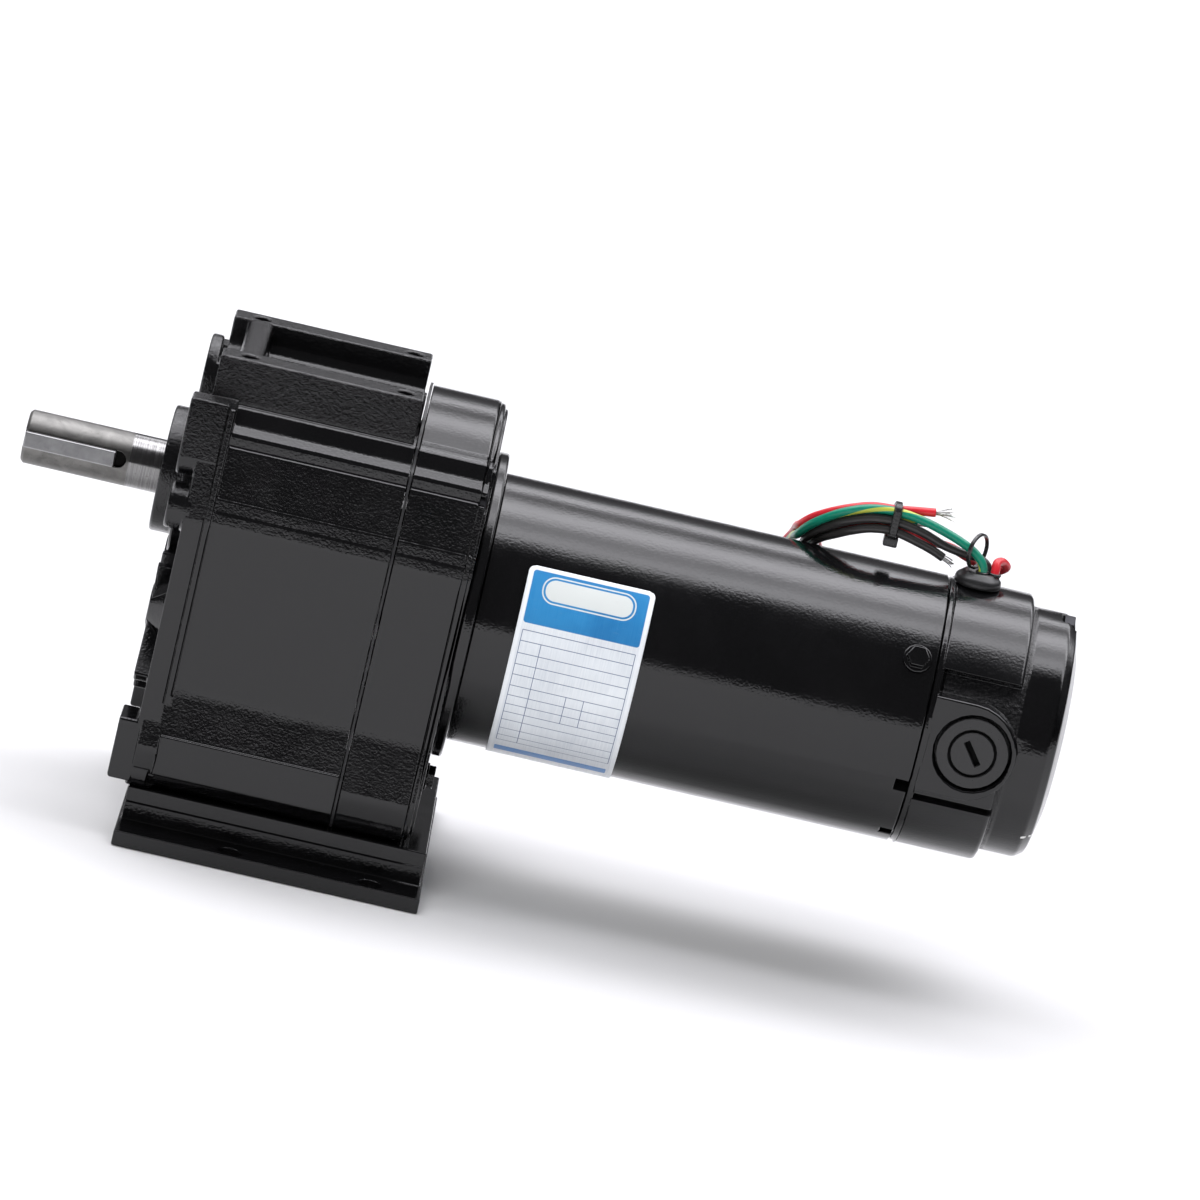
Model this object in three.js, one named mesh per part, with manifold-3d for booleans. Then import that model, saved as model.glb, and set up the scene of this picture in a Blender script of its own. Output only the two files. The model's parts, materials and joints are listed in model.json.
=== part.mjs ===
// Parallel-shaft DC gearmotor: a two-stage spur gearbox on a bolt-on base, driven by a
// permanent-magnet motor. Millimetres, +Z up. The origin is the centre of the base's flat underside.
// The output shaft points to -X, the motor lies towards +X, and the nameplate's side faces -Y.
import * as THREE from "three";
import { mergeVertices } from "three/addons/utils/BufferGeometryUtils.js";
import Module from "manifold-3d";

const wasm = await Module();
wasm.setup();

const radians = THREE.MathUtils.degToRad;

// ---- Driving dimensions ----
const GAP = 0.3; // between pieces that touch
const MOTOR_AXIS_Z = 79;
const OUTPUT_RISE = 19.5; // output axis above the motor axis
const OUTPUT_AXIS_Z = MOTOR_AXIS_Z + OUTPUT_RISE;

// Gear train: 10 into 60 teeth, then 12 into 58 teeth, 29:1 in all.
const INCH = 25.4;
const MODULE_1 = INCH / 36;
const MODULE_2 = INCH / 22;
const TEETH = { motorPinion: 10, intermediateGear: 60, intermediatePinion: 12, outputGear: 58 };
const SHIFT_1 = 0.45;
const SHIFT_2 = 0.3;
const PRESSURE_ANGLE = radians(20);
const BACKLASH = 0.12;
const CENTRES_1 = (MODULE_1 * (TEETH.motorPinion + TEETH.intermediateGear)) / 2;
const CENTRES_2 = (MODULE_2 * (TEETH.intermediatePinion + TEETH.outputGear)) / 2;
const INTERMEDIATE_Z = (CENTRES_1 ** 2 - CENTRES_2 ** 2 + OUTPUT_RISE ** 2) / (2 * OUTPUT_RISE);
const INTERMEDIATE_Y = -Math.sqrt(CENTRES_1 ** 2 - INTERMEDIATE_Z ** 2);
const STAGE_1_X = [21.5, 31.5];
const STAGE_2_X = [-12, 4];

// Output shaft
const SHAFT_R = INCH * (5 / 8) / 2;
const SHAFT_TIP_X = -96.2;
const KEY_SIZE = INCH * (3 / 16);
const KEY_END_X = -69.2;
const KEYSEAT_END_X = -66;
const KEY_TURN = radians(7.5); // the key faces -Y, turned this far upwards

// Gear case, heights measured from the motor axis
const CASE = {
  plateX: [-45.2, -39.3],
  bodyEndX: 14.6,
  coverX: [15.9, 38.6],
  sideY: 45.2,
  plateSideY: 46.8,
  bottomZ: -64.2,
  flare: 2.9, // how far each side leans out between the two heights of flareZ
  flareZ: [-30, -50.5],
  wall: 4.2,
};
const PAD_X = -50.6; // front plane of the mounting pads
const BOSS_X = -55.5;
const BOSS_R = 18.6;
const RAIL = { x: [-44.1, 13.8], outerY: 31.2, draft: 2, width: 10, topZ: 63.4, floorZ: 57, fillet: 4.7 };
const ARCH_R = 40.9;

// Mounting base, heights from the floor
const BASE = {
  footX: 45,
  footY: 55,
  footZ: 4.5,
  blockX: 44,
  blockY: 42,
  topZ: 14.4,
  holeX: [-11.2, 30],
  holeY: 50,
};

// Motor
const TUBE_R = 39.75;
const TUBE_WALL = 3.7;
const TUBE_X = [42.4, 174.3];
const FLANGE_R = 45.3;
const BELL_LIP_X = 176.7;
const BELL_PAD_END_X = 200;
const BELL_CORE_R = 36.4;
const BELL_RIM_X = 212.6;
const BELL_END_X = 216.8;
const BRUSH_X = 190;
const BRUSH_FACE_Y = 38.6;
const BRUSH_BOSS = { x: 188.3, r: 14.4 }; // rounded towards the rear, running forward to the lip
const LEDGE = { endX: 199.4, y: 37.4, z: [-15.6, -8] }; // below each brush boss
const BOLT_RADIUS = 33.2;
// Degrees about the motor axis, up from the side, between which the bell's full-radius pads are cut away.
const WINDOW = [-27, 33];

const GROMMET = { x: 182.5, flangeR: 6.9, shoulderZ: 42.3, topR: 4.9, topZ: 43.9 };

const SEGMENTS = 32; // facets round a large turned face
const SMALL_SEGMENTS = 16;
const HOLE_SEGMENTS = 8;

// ---- Materials ----
function surface(color, roughness, metalness) {
  return new THREE.MeshStandardMaterial({ color, roughness, metalness });
}
const paint = (color, roughness = 0.28) => surface(color, roughness, 0);
const metal = (color, roughness = 0.35) => surface(color, roughness, 1);
const BLACK = 0x0b0b0c;
const STEEL = 0xb4b2ad;
const GEAR_STEEL = 0x94918c;
const BLACK_OXIDE = 0x2a2a2a;
const BRONZE = 0x9a6a35;
const COPPER = 0xa4561f;

// ---- Solids ----
// Every solid is a closed BufferGeometry. The library joins and cuts them; a solid that it made is
// marked as welded, because its shared vertices are merged already.
function toManifold(geometry) {
  let welded = geometry;
  if (!geometry.userData.welded) {
    const plain = geometry.clone();
    plain.deleteAttribute("normal");
    plain.deleteAttribute("uv");
    welded = mergeVertices(plain, 1e-4);
  }
  const vertProperties = new Float32Array(welded.attributes.position.array);
  const triVerts = new Uint32Array(dropDegenerate(welded.index.array));
  const build = () => new wasm.Manifold(new wasm.Mesh({ numProp: 3, vertProperties, triVerts }));
  const solid = build();
  if (solid.volume() > 0) return solid;
  for (let i = 0; i < triVerts.length; i += 3) {
    [triVerts[i], triVerts[i + 1]] = [triVerts[i + 1], triVerts[i]];
  }
  return build();
}

function dropDegenerate(index) {
  const kept = [];
  for (let i = 0; i < index.length; i += 3) {
    const [a, b, c] = [index[i], index[i + 1], index[i + 2]];
    if (a !== b && b !== c && a !== c) kept.push(a, b, c);
  }
  return kept;
}

function toGeometry(manifold) {
  const mesh = manifold.getMesh();
  const geometry = new THREE.BufferGeometry();
  geometry.setAttribute("position", new THREE.BufferAttribute(new Float32Array(mesh.vertProperties), 3));
  geometry.setIndex(new THREE.BufferAttribute(new Uint32Array(mesh.triVerts), 1));
  geometry.userData.welded = true;
  return geometry;
}

function combined(how, first, rest) {
  return toGeometry(rest.reduce((left, next) => left[how](toManifold(next)), toManifold(first)));
}
const joined = (first, ...rest) => combined("add", first, rest);
const cut = (first, ...rest) => combined("subtract", first, rest);
const common = (first, ...rest) => combined("intersect", first, rest);

const moved = (solid, x, y, z) => solid.clone().translate(x, y, z);
const turnedAboutX = (solid, degrees) => solid.clone().rotateX(radians(degrees));
const ordered = (a, b) => (a < b ? [a, b] : [b, a]);
const SIDES = [-1, 1];

function box(x0, x1, y0, y1, z0, z1) {
  const geometry = new THREE.BoxGeometry(x1 - x0, y1 - y0, z1 - z0);
  geometry.translate((x0 + x1) / 2, (y0 + y1) / 2, (z0 + z1) / 2);
  return geometry;
}

// Turned solid about the X axis through (y, z). The profile lists [x, radius] and starts and ends on
// the axis.
function turned(profile, y = 0, z = 0, segments = SEGMENTS) {
  const geometry = new THREE.LatheGeometry(profile.map(([x, r]) => new THREE.Vector2(r, x)), segments);
  geometry.rotateZ(-Math.PI / 2);
  return geometry.translate(0, y, z);
}

function rod(radius, x0, x1, y = 0, z = 0, segments = SEGMENTS) {
  return turned([[x0, 0], [x0, radius], [x1, radius], [x1, 0]], y, z, segments);
}

function ring(outer, inner, x0, x1, segments = SEGMENTS) {
  return turned([[x0, inner], [x0, outer], [x1, outer], [x1, inner], [x0, inner]], 0, 0, segments);
}

function shapeOf(points) {
  return new THREE.Shape(points.map(([u, v]) => new THREE.Vector2(u, v)));
}

// Outline in the YZ plane, extruded along X.
function extrudedX(points, x0, x1, holes = []) {
  const shape = shapeOf(points);
  shape.holes = holes.map((hole) => new THREE.Path(hole.map(([u, v]) => new THREE.Vector2(u, v))));
  const geometry = new THREE.ExtrudeGeometry(shape, { depth: x1 - x0, bevelEnabled: false });
  const turn = new THREE.Matrix4().makeBasis(
    new THREE.Vector3(0, 1, 0),
    new THREE.Vector3(0, 0, 1),
    new THREE.Vector3(1, 0, 0),
  );
  geometry.applyMatrix4(turn);
  geometry.translate(x0, 0, 0);
  return geometry;
}

// Solid turned about an axis that runs along Y through (x, z). The profile lists [y, radius].
function turnedY(profile, x, z, segments = 32) {
  const geometry = new THREE.LatheGeometry(profile.map(([y, r]) => new THREE.Vector2(r, y)), segments);
  geometry.translate(x, 0, z);
  return geometry;
}

const rodY = (radius, y0, y1, x, z, segments) =>
  turnedY([[y0, 0], [y0, radius], [y1, radius], [y1, 0]], x, z, segments);

function rodZ(radius, z0, z1, x, y, segments = 24) {
  const geometry = new THREE.CylinderGeometry(radius, radius, z1 - z0, segments);
  geometry.rotateX(Math.PI / 2);
  geometry.translate(x, y, (z0 + z1) / 2);
  return geometry;
}

// Points of an arc about (cy, cz), from one angle to another in degrees, measured from +Y towards +Z.
function arc(cy, cz, r, from, to, steps) {
  const points = [];
  for (let i = 0; i <= steps; i += 1) {
    const angle = radians(from + ((to - from) * i) / steps);
    points.push([cy + r * Math.cos(angle), cz + r * Math.sin(angle)]);
  }
  return points;
}

// A half outline from the top centre down the +Y side to the bottom centre, mirrored to the -Y side.
function mirrored(half) {
  const other = half.filter(([y]) => y > 0).map(([y, z]) => [-y, z]);
  return [...half, ...other.reverse()];
}

// Sector of a tube wall about the X axis, between two angles in degrees measured from -Y upwards.
function tubeSector(outer, inner, x0, x1, from, to, steps) {
  const outside = arc(0, 0, outer, 180 - from, 180 - to, steps);
  const inside = arc(0, 0, inner, 180 - to, 180 - from, steps);
  return extrudedX([...outside, ...inside], x0, x1);
}

// ---- Scene graph ----
const group = new THREE.Group();
const motorAxis = new THREE.Group();
motorAxis.position.z = MOTOR_AXIS_Z;
const outputAxis = new THREE.Group();
outputAxis.position.z = OUTPUT_AXIS_Z;
const intermediateAxis = new THREE.Group();
intermediateAxis.position.set(0, INTERMEDIATE_Y, MOTOR_AXIS_Z + INTERMEDIATE_Z);
group.add(motorAxis, outputAxis, intermediateAxis);

function place(parent, name, solid, material) {
  const geometry = toGeometry(toManifold(solid));
  geometry.computeVertexNormals();
  const mesh = new THREE.Mesh(geometry, material);
  mesh.name = name;
  parent.add(mesh);
  return mesh;
}

// ---- Gears ----
// Outline of an involute gear with a tooth centred on the direction phase, in radians from +Y towards +Z.
function gearOutline(teeth, module, shift, phase, flankSteps, trim = 0) {
  const pitchR = (module * teeth) / 2;
  const baseR = pitchR * Math.cos(PRESSURE_ANGLE);
  const tipR = pitchR + module * (1 + shift - trim);
  const rootR = pitchR + module * (shift - 1.25);
  const involute = (angle) => Math.tan(angle) - angle;
  const thick = Math.PI / 2 + 2 * shift * Math.tan(PRESSURE_ANGLE);
  const halfAtPitch = thick / teeth - BACKLASH / (4 * pitchR);
  const pressureAt = (r) => Math.acos(Math.min(1, baseR / r));
  const halfAt = (r) => halfAtPitch + involute(PRESSURE_ANGLE) - involute(pressureAt(r));
  const startR = Math.max(baseR, rootR);
  const flank = baseR > rootR ? [[rootR, halfAt(startR)]] : [];
  for (let i = 0; i <= flankSteps; i += 1) {
    const r = startR + ((tipR - startR) * i) / flankSteps;
    flank.push([r, halfAt(r)]);
  }
  const points = [];
  for (let tooth = 0; tooth < teeth; tooth += 1) {
    const centre = phase + (2 * Math.PI * tooth) / teeth;
    flank.forEach(([r, half]) => points.push([r * Math.cos(centre - half), r * Math.sin(centre - half)]));
    [...flank].reverse().forEach(([r, half]) =>
      points.push([r * Math.cos(centre + half), r * Math.sin(centre + half)]));
  }
  return points;
}

const toIntermediate = Math.atan2(INTERMEDIATE_Z, INTERMEDIATE_Y);
const toOutput = Math.atan2(OUTPUT_RISE - INTERMEDIATE_Z, -INTERMEDIATE_Y);
const halfPitch = (teeth) => Math.PI / teeth;

const outputGear = () => {
  const phase = toOutput + Math.PI + halfPitch(TEETH.outputGear);
  const blank = extrudedX(gearOutline(TEETH.outputGear, MODULE_2, -SHIFT_2, phase, 1), ...STAGE_2_X);
  return cut(blank, rod(9.3, STAGE_2_X[0] - 1, STAGE_2_X[1] + 1, 0, 0, SMALL_SEGMENTS));
};
place(outputAxis, "output_gear", outputGear(), metal(GEAR_STEEL, 0.4));

const intermediateGear = () => {
  const phase = toIntermediate + Math.PI + halfPitch(TEETH.intermediateGear);
  const blank = extrudedX(gearOutline(TEETH.intermediateGear, MODULE_1, -SHIFT_1, phase, 1), ...STAGE_1_X);
  return cut(blank, rod(6.3, STAGE_1_X[0] - 1, STAGE_1_X[1] + 1, 0, 0, SMALL_SEGMENTS));
};
place(intermediateAxis, "intermediate_gear", intermediateGear(), metal(GEAR_STEEL, 0.4));

// ---- Shafts ----
// The keyseat runs in from the tip and ends in the half round that the end mill leaves.
function outputShaft() {
  const shaft = turned([
    [SHAFT_TIP_X, 0], [SHAFT_TIP_X, SHAFT_R - 0.9], [SHAFT_TIP_X + 0.9, SHAFT_R], [-36.5, SHAFT_R],
    [-36.5, 10.5], [-12.3, 10.5], [-12.3, 9], [4.5, 9], [4.5, 7.5], [35, 7.5], [36, 6.5], [36, 0],
  ]);
  const floorY = -SHAFT_R + KEY_SIZE / 2;
  const half = KEY_SIZE / 2;
  const seat = box(SHAFT_TIP_X - 1, KEYSEAT_END_X - half, -SHAFT_R - 2, floorY, -half, half);
  const seatEnd = rodY(half, -SHAFT_R - 2, floorY, KEYSEAT_END_X - half, 0, 20);
  return cut(shaft, joined(seat, seatEnd));
}
const shaftMesh = place(outputAxis, "output_shaft", outputShaft(), metal(STEEL, 0.3));

const outputKey = () => {
  const half = KEY_SIZE / 2 - 0.1;
  const inner = -SHAFT_R + KEY_SIZE / 2 - GAP;
  return box(SHAFT_TIP_X + 0.3, KEY_END_X, inner - KEY_SIZE, inner, -half, half);
};
const keyMesh = place(outputAxis, "output_key", outputKey(), metal(0x8f8f90, 0.45));
shaftMesh.rotation.x = -KEY_TURN;
keyMesh.rotation.x = -KEY_TURN;

// The pinion is cut on the intermediate shaft, and so is the motor pinion on the motor shaft.
function intermediateShaft() {
  const phase = toOutput;
  const pinion = extrudedX(
    gearOutline(TEETH.intermediatePinion, MODULE_2, SHIFT_2, phase, 2, 0.1),
    STAGE_2_X[0] - 1,
    STAGE_2_X[1] + 1,
  );
  const shaft = turned([
    [-45.4, 0], [-45.4, 4.6], [-33.2, 4.6], [-33.2, 5.4], [5, 5.4], [5, 9], [21, 9],
    [21, 6], [32, 6], [32, 4.6], [36.2, 4.6], [36.2, 0],
  ], 0, 0, SMALL_SEGMENTS);
  return joined(shaft, pinion);
}
place(intermediateAxis, "intermediate_shaft", intermediateShaft(), metal(GEAR_STEEL, 0.35));

function armatureShaft() {
  const pinion = extrudedX(
    gearOutline(TEETH.motorPinion, MODULE_1, SHIFT_1, toIntermediate, 2, 0.1),
    STAGE_1_X[0] - 0.5,
    STAGE_1_X[1] + 0.5,
  );
  const shaft = turned([
    [19.5, 0], [19.5, 2.4], [20, 2.8], [35, 2.8], [36, 4.9], [53, 4.9], [54, 6.2], [200, 6.2],
    [200, 4.9], [211.5, 4.9], [211.5, 0],
  ], 0, 0, SMALL_SEGMENTS);
  return joined(shaft, pinion);
}
place(motorAxis, "armature_shaft", armatureShaft(), metal(GEAR_STEEL, 0.35));

// ---- Gear case ----
// Shoulders, stepped and flared sides and rounded bottom, common to both halves of the case.
const caseSide = () => {
  const side = CASE.sideY;
  const foot = side + CASE.flare;
  const corner = 12;
  return [
    [34.5, 50], [37.3, 45.6], [40.4, 43.3], [side - 4.6, 39.9], [side - 3.8, 39.4], [side - 1.8, 25.2],
    [side - 1.2, 24.7], [side - 0.8, 21.2], [side - 0.4, 20.8], [side, 17.4], [side, CASE.flareZ[0]],
    [side + 0.12, CASE.flareZ[0] - 2.4], [side + 0.45, CASE.flareZ[0] - 4.8], [foot, CASE.flareZ[1]],
    ...arc(foot - corner, CASE.bottomZ + corner, corner, 0, -90, 4),
  ];
};

const bodyOutline = () => mirrored([[RAIL.outerY, RAIL.floorZ - 5.4], ...caseSide()]);
const coverOutline = () => {
  const arch = arc(0, OUTPUT_RISE, ARCH_R, 90, 49, 6);
  return mirrored([...arch, [30.5, 50.6], ...caseSide()]);
};
// The hollow inside both halves clears the gears: an arch about the output gear over a box with
// bevelled corners.
const hollowOutline = () => {
  const side = CASE.sideY - CASE.wall;
  return mirrored([
    ...arc(0, OUTPUT_RISE, 35.3, 90, 38, 4), [33, 38.5], [side - 8, 33], [side - 3, 27], [side, 12],
    [side, -36], [side - 12, -46], [10, -59], [0.1, -59],
  ]);
};

const CASE_SCREWS = [[36, 39.5], [-36, 39.5], [37, -53], [-37, -53]];
const COVER_SCREW_Z = -53.6;
const adapterScrewAt = (side) => [side * 30, 10]; // y and z of the screws that hold the motor to the case

function frontPads() {
  const outer = CASE.plateSideY;
  const upper = [
    [outer - 14, 51.5], [outer - 5.2, 51.5], ...arc(outer - 9.6, 35, 7, 0, -90, 4), [outer - 14, 28],
  ];
  const pads = joined(
    extrudedX(upper, PAD_X, CASE.plateX[1]),
    rod(6.9, PAD_X, -44, outer - 6.9, OUTPUT_RISE, 20),
    box(PAD_X, -44, outer - 15, outer, -61.8, -43.6),
  );
  return [pads, pads.clone().scale(1, -1, 1)];
}

function frontCase() {
  const [plateX0, plateX1] = CASE.plateX;
  const railFoot = RAIL.outerY + RAIL.draft;
  const railSide = [[RAIL.outerY, RAIL.topZ], [railFoot, 51.5]];
  const plate = mirrored([
    ...railSide, [CASE.plateSideY - 6.2, 51.5], [CASE.plateSideY - 5.4, 50.5], [CASE.plateSideY, 18],
    [CASE.plateSideY, -59], ...arc(CASE.plateSideY - 5, -59, 5, 0, -90, 3).slice(1),
  ]);
  const fillet = mirrored([
    ...railSide, [CASE.plateSideY - 6, 50.3], [CASE.plateSideY - 0.9, 18],
    [CASE.plateSideY - 0.8, -59], [CASE.plateSideY - 6, CASE.bottomZ],
  ]);
  const body = extrudedX(bodyOutline(), plateX0 + 1, CASE.bodyEndX);
  const topBlock = extrudedX(mirrored([...railSide, [railFoot, 48]]), plateX0 + 1.1, RAIL.x[1]);
  // The channel's floor follows the arch over the output gear, and meets the rails in fillets.
  const channel = (x0, x1) => {
    const side = RAIL.outerY - RAIL.width;
    const fillet = arc(side - RAIL.fillet, 58.2, RAIL.fillet, 0, -90, 6);
    const floor = arc(0, OUTPUT_RISE, RAIL.floorZ - OUTPUT_RISE, 68, 90, 5);
    return extrudedX(mirrored([[side, RAIL.topZ + 1], ...fillet, ...floor]), x0, x1);
  };
  const lowerPads = SIDES.map((side) =>
    box(-38, CASE.bodyEndX - 0.1, ...ordered(side * 40, side * 48.4), -58, -46));
  const ribs = [45, 90, 135].map((angle) => {
    const rib = extrudedX([[-25, -1.8], [25, -1.8], [25, 1.8], [-25, 1.8]], -49.6, -45);
    return moved(turnedAboutX(rib, angle), 0, INTERMEDIATE_Y, INTERMEDIATE_Z);
  });
  const keepRibs = box(-60, -40, -44, 44, -50, 0);
  const solid = joined(
    extrudedX(plate, plateX0, plateX1),
    extrudedX(fillet, plateX1 - 0.2, -37.4),
    body,
    topBlock,
    ...frontPads(),
    ...lowerPads,
    rod(BOSS_R, BOSS_X, -45, 0, OUTPUT_RISE),
    rod(24, -49, -45, 0, OUTPUT_RISE),
    rod(12, -49.7, -45, 0, 49.5, 24),
    turned([[-50.2, 0], [-50.2, 6], [-45, 12.2], [-45, 0]], INTERMEDIATE_Y, INTERMEDIATE_Z, 20),
    ...ribs.map((rib) => common(rib, keepRibs)),
  );
  const hollow = extrudedX(hollowOutline(), -37.5, CASE.bodyEndX + 1);
  const hubs = joined(
    rod(21.5, -44, -35.5, 0, OUTPUT_RISE),
    rod(11.5, -44, -33, INTERMEDIATE_Y, INTERMEDIATE_Z, SMALL_SEGMENTS),
    ...CASE_SCREWS.map(([y, z]) => rod(5.6, -38, CASE.bodyEndX, y, z, HOLE_SEGMENTS)),
    box(CASE.bodyEndX - 12, CASE.bodyEndX, -6, 6, -60, COVER_SCREW_Z),
    rod(6, CASE.bodyEndX - 12, CASE.bodyEndX, 0, COVER_SCREW_Z, 12),
  );
  const bores = [
    rod(SHAFT_R + 0.35, BOSS_X - 1, -30, 0, OUTPUT_RISE),
    rod(13.8, BOSS_X - 1, -49, 0, OUTPUT_RISE),
    rod(17.8, -46, -30, 0, OUTPUT_RISE),
    rod(8.3, -46, -30, INTERMEDIATE_Y, INTERMEDIATE_Z, SMALL_SEGMENTS),
    ...CASE_SCREWS.map(([y, z]) => rod(2.9, -20, CASE.bodyEndX + 1, y, z, HOLE_SEGMENTS)),
    rod(2.9, CASE.bodyEndX - 16, CASE.bodyEndX + 1, 0, COVER_SCREW_Z, HOLE_SEGMENTS),
  ];
  const tapped = [];
  for (const side of SIDES) {
    for (const [y, z] of [[38.4, 41], [39.9, OUTPUT_RISE], [39.9, -52.7]]) {
      tapped.push(rod(2.6, PAD_X - 1, -40, side * y, z, HOLE_SEGMENTS));
    }
    for (const x of [-37, 8.6]) {
      tapped.push(rodZ(2.6, 54, RAIL.topZ + 1, x, side * 26, HOLE_SEGMENTS));
    }
  }
  const outline = extrudedX(bodyOutline(), -60, CASE.bodyEndX);
  const shell = cut(solid, hollow, channel(plateX0 - 1, -40.6), channel(-33.2, RAIL.x[1] + 1));
  return cut(joined(shell, common(hubs, outline)), ...bores, ...tapped);
}
place(motorAxis, "gear_case_front", frontCase(), paint(BLACK));

const gasket = () => {
  const outer = extrudedX(coverOutline(), CASE.bodyEndX + GAP, CASE.coverX[0] - GAP);
  const holes = [...CASE_SCREWS, [0, COVER_SCREW_Z]].map(([y, z]) => rod(3.1, 10, 20, y, z, HOLE_SEGMENTS));
  const bosses = CASE_SCREWS.map(([y, z]) => rod(5.6, 10, 20, y, z, HOLE_SEGMENTS));
  const inner = extrudedX(hollowOutline(), 10, 20);
  return cut(outer, cut(inner, ...bosses, rod(6, 10, 20, 0, COVER_SCREW_Z, 12)), ...holes);
};
place(motorAxis, "case_gasket", gasket(), paint(0x1a1a1a, 0.8));

// The rear half's rear edge steps in twice, as the cast radius does.
function rearCase() {
  const [x0, x1] = CASE.coverX;
  const scaled = (inset, a, b) => {
    const outline = coverOutline().map(([y, z]) => {
      const scaleY = 1 - inset / CASE.sideY;
      const scaleZ = 1 - inset / 62;
      return [y * scaleY, z * scaleZ];
    });
    return extrudedX(outline, a, b);
  };
  const shell = joined(
    scaled(0, x0, x1 - 2.6), scaled(0.7, x1 - 2.7, x1 - 0.9), scaled(2.2, x1 - 1, x1),
  );
  const hollow = extrudedX(hollowOutline(), x0 - 1, 34.4);
  const hubs = joined(
    rod(13.5, 26.5, 35, 0, OUTPUT_RISE, 24),
    rod(11, 32, 35, INTERMEDIATE_Y, INTERMEDIATE_Z, SMALL_SEGMENTS),
    ...CASE_SCREWS.map(([y, z]) => rod(5.6, x0, 35, y, z, HOLE_SEGMENTS)),
    rod(6, x0, 35, 0, COVER_SCREW_Z, 12),
  );
  return cut(
    joined(cut(shell, hollow), common(hubs, extrudedX(coverOutline(), x0, 35))),
    rod(11.3, 20, 34.3, 0, OUTPUT_RISE, 24),
    rod(7.9, 34.2, 36.6, 0, OUTPUT_RISE, SMALL_SEGMENTS),
    rod(7.2, 20, 37.1, INTERMEDIATE_Y, INTERMEDIATE_Z, SMALL_SEGMENTS),
    rod(6.4, 20, 40, 0, 0, SMALL_SEGMENTS),
    rod(22.3, 37.2, 40, 0, 0, 24),
    ...[...CASE_SCREWS, [0, COVER_SCREW_Z]].map(([y, z]) => rod(2.9, x0 - 1, 40, y, z, HOLE_SEGMENTS)),
    ...CASE_SCREWS.map(([y, z]) => rod(4.5, x1 - 5, 40, y, z, 12)),
    ...SIDES.map((side) => rod(2.6, 30, 40, ...adapterScrewAt(side), HOLE_SEGMENTS)),
  );
}
place(motorAxis, "gear_case_rear", rearCase(), paint(BLACK));

// ---- Screws ----
// Socket-head screw along X: the head is at headX and the shank runs in the direction of sign.
function socketScrew(headX, sign, length, shankR, headR, headH) {
  const at = (d) => headX + sign * d;
  const body = turned([
    [at(0), 0], [at(0), headR - 0.4], [at(0.4), headR], [at(headH), headR], [at(headH), shankR],
    [at(headH + length), shankR], [at(headH + length), 0],
  ], 0, 0, 10);
  const socket = rod(headR * 0.5, ...ordered(at(-1), at(headH * 0.55)), 0, 0, 6);
  return cut(body, socket);
}

// Hexagon washer-head screw along +X, its head towards +X.
function hexScrew(underX, length, shankR, washerR, hexR, headH) {
  return joined(
    rod(shankR, underX - length, underX + 0.5, 0, 0, HOLE_SEGMENTS),
    rod(washerR, underX, underX + 0.9, 0, 0, SMALL_SEGMENTS),
    rod(hexR, underX + 0.5, underX + headH, 0, 0, 6),
  );
}

CASE_SCREWS.forEach(([y, z], i) => {
  const head = CASE.coverX[1] - 0.6;
  const screw = socketScrew(head, -1, 40, 2.5, 4.1, 4);
  place(motorAxis, `case_screw_${i + 1}`, screw, metal(BLACK_OXIDE, 0.4)).position.set(0, y, z);
});
const coverScrew = () => hexScrew(CASE.coverX[1] + GAP, 30, 2.5, 4.1, 3.6, 2.9);
place(motorAxis, "case_screw_5", coverScrew(), paint(BLACK)).position.z = COVER_SCREW_Z;

// ---- Mounting base ----
const BASE_SCREWS = [[-27, -30], [27, -30], [-27, 30], [27, 30]];

function mountingBase() {
  const foot = box(-BASE.footX, BASE.footX, -BASE.footY, BASE.footY, 0, BASE.footZ);
  const block = box(-BASE.blockX, BASE.blockX, -BASE.blockY, BASE.blockY, 1, BASE.topZ - 4.5);
  const top = box(-BASE.blockX, BASE.blockX, -BASE.blockY + 0.8, BASE.blockY - 0.8, 5, BASE.topZ);
  const pockets = SIDES.map((side) => {
    const [a, b] = ordered(side * 4, side * 19);
    return box(-36, 36, a, b, 6, BASE.topZ + 1);
  });
  const holes = [];
  for (const x of BASE.holeX) {
    for (const side of SIDES) holes.push(rodZ(3.6, -1, BASE.footZ + 1, x, side * BASE.holeY, 12));
  }
  const screws = BASE_SCREWS.flatMap(([x, y]) => [
    rodZ(3.1, -1, 20, x, y, HOLE_SEGMENTS),
    rodZ(5.5, -1, 6.2, x, y, 12),
  ]);
  return cut(joined(foot, block, top), ...pockets, ...holes, ...screws);
}
place(group, "mounting_base", mountingBase(), paint(BLACK));

BASE_SCREWS.forEach(([x, y], i) => {
  const screw = joined(rodZ(5, 1.2, 5.9, 0, 0, 12), rodZ(2.7, 5, 14.2, 0, 0, HOLE_SEGMENTS));
  const socket = rodZ(2.4, 0, 4, 0, 0, 6);
  place(group, `base_screw_${i + 1}`, cut(screw, socket), metal(BLACK_OXIDE, 0.4)).position.set(x, y, 0);
});

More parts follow.
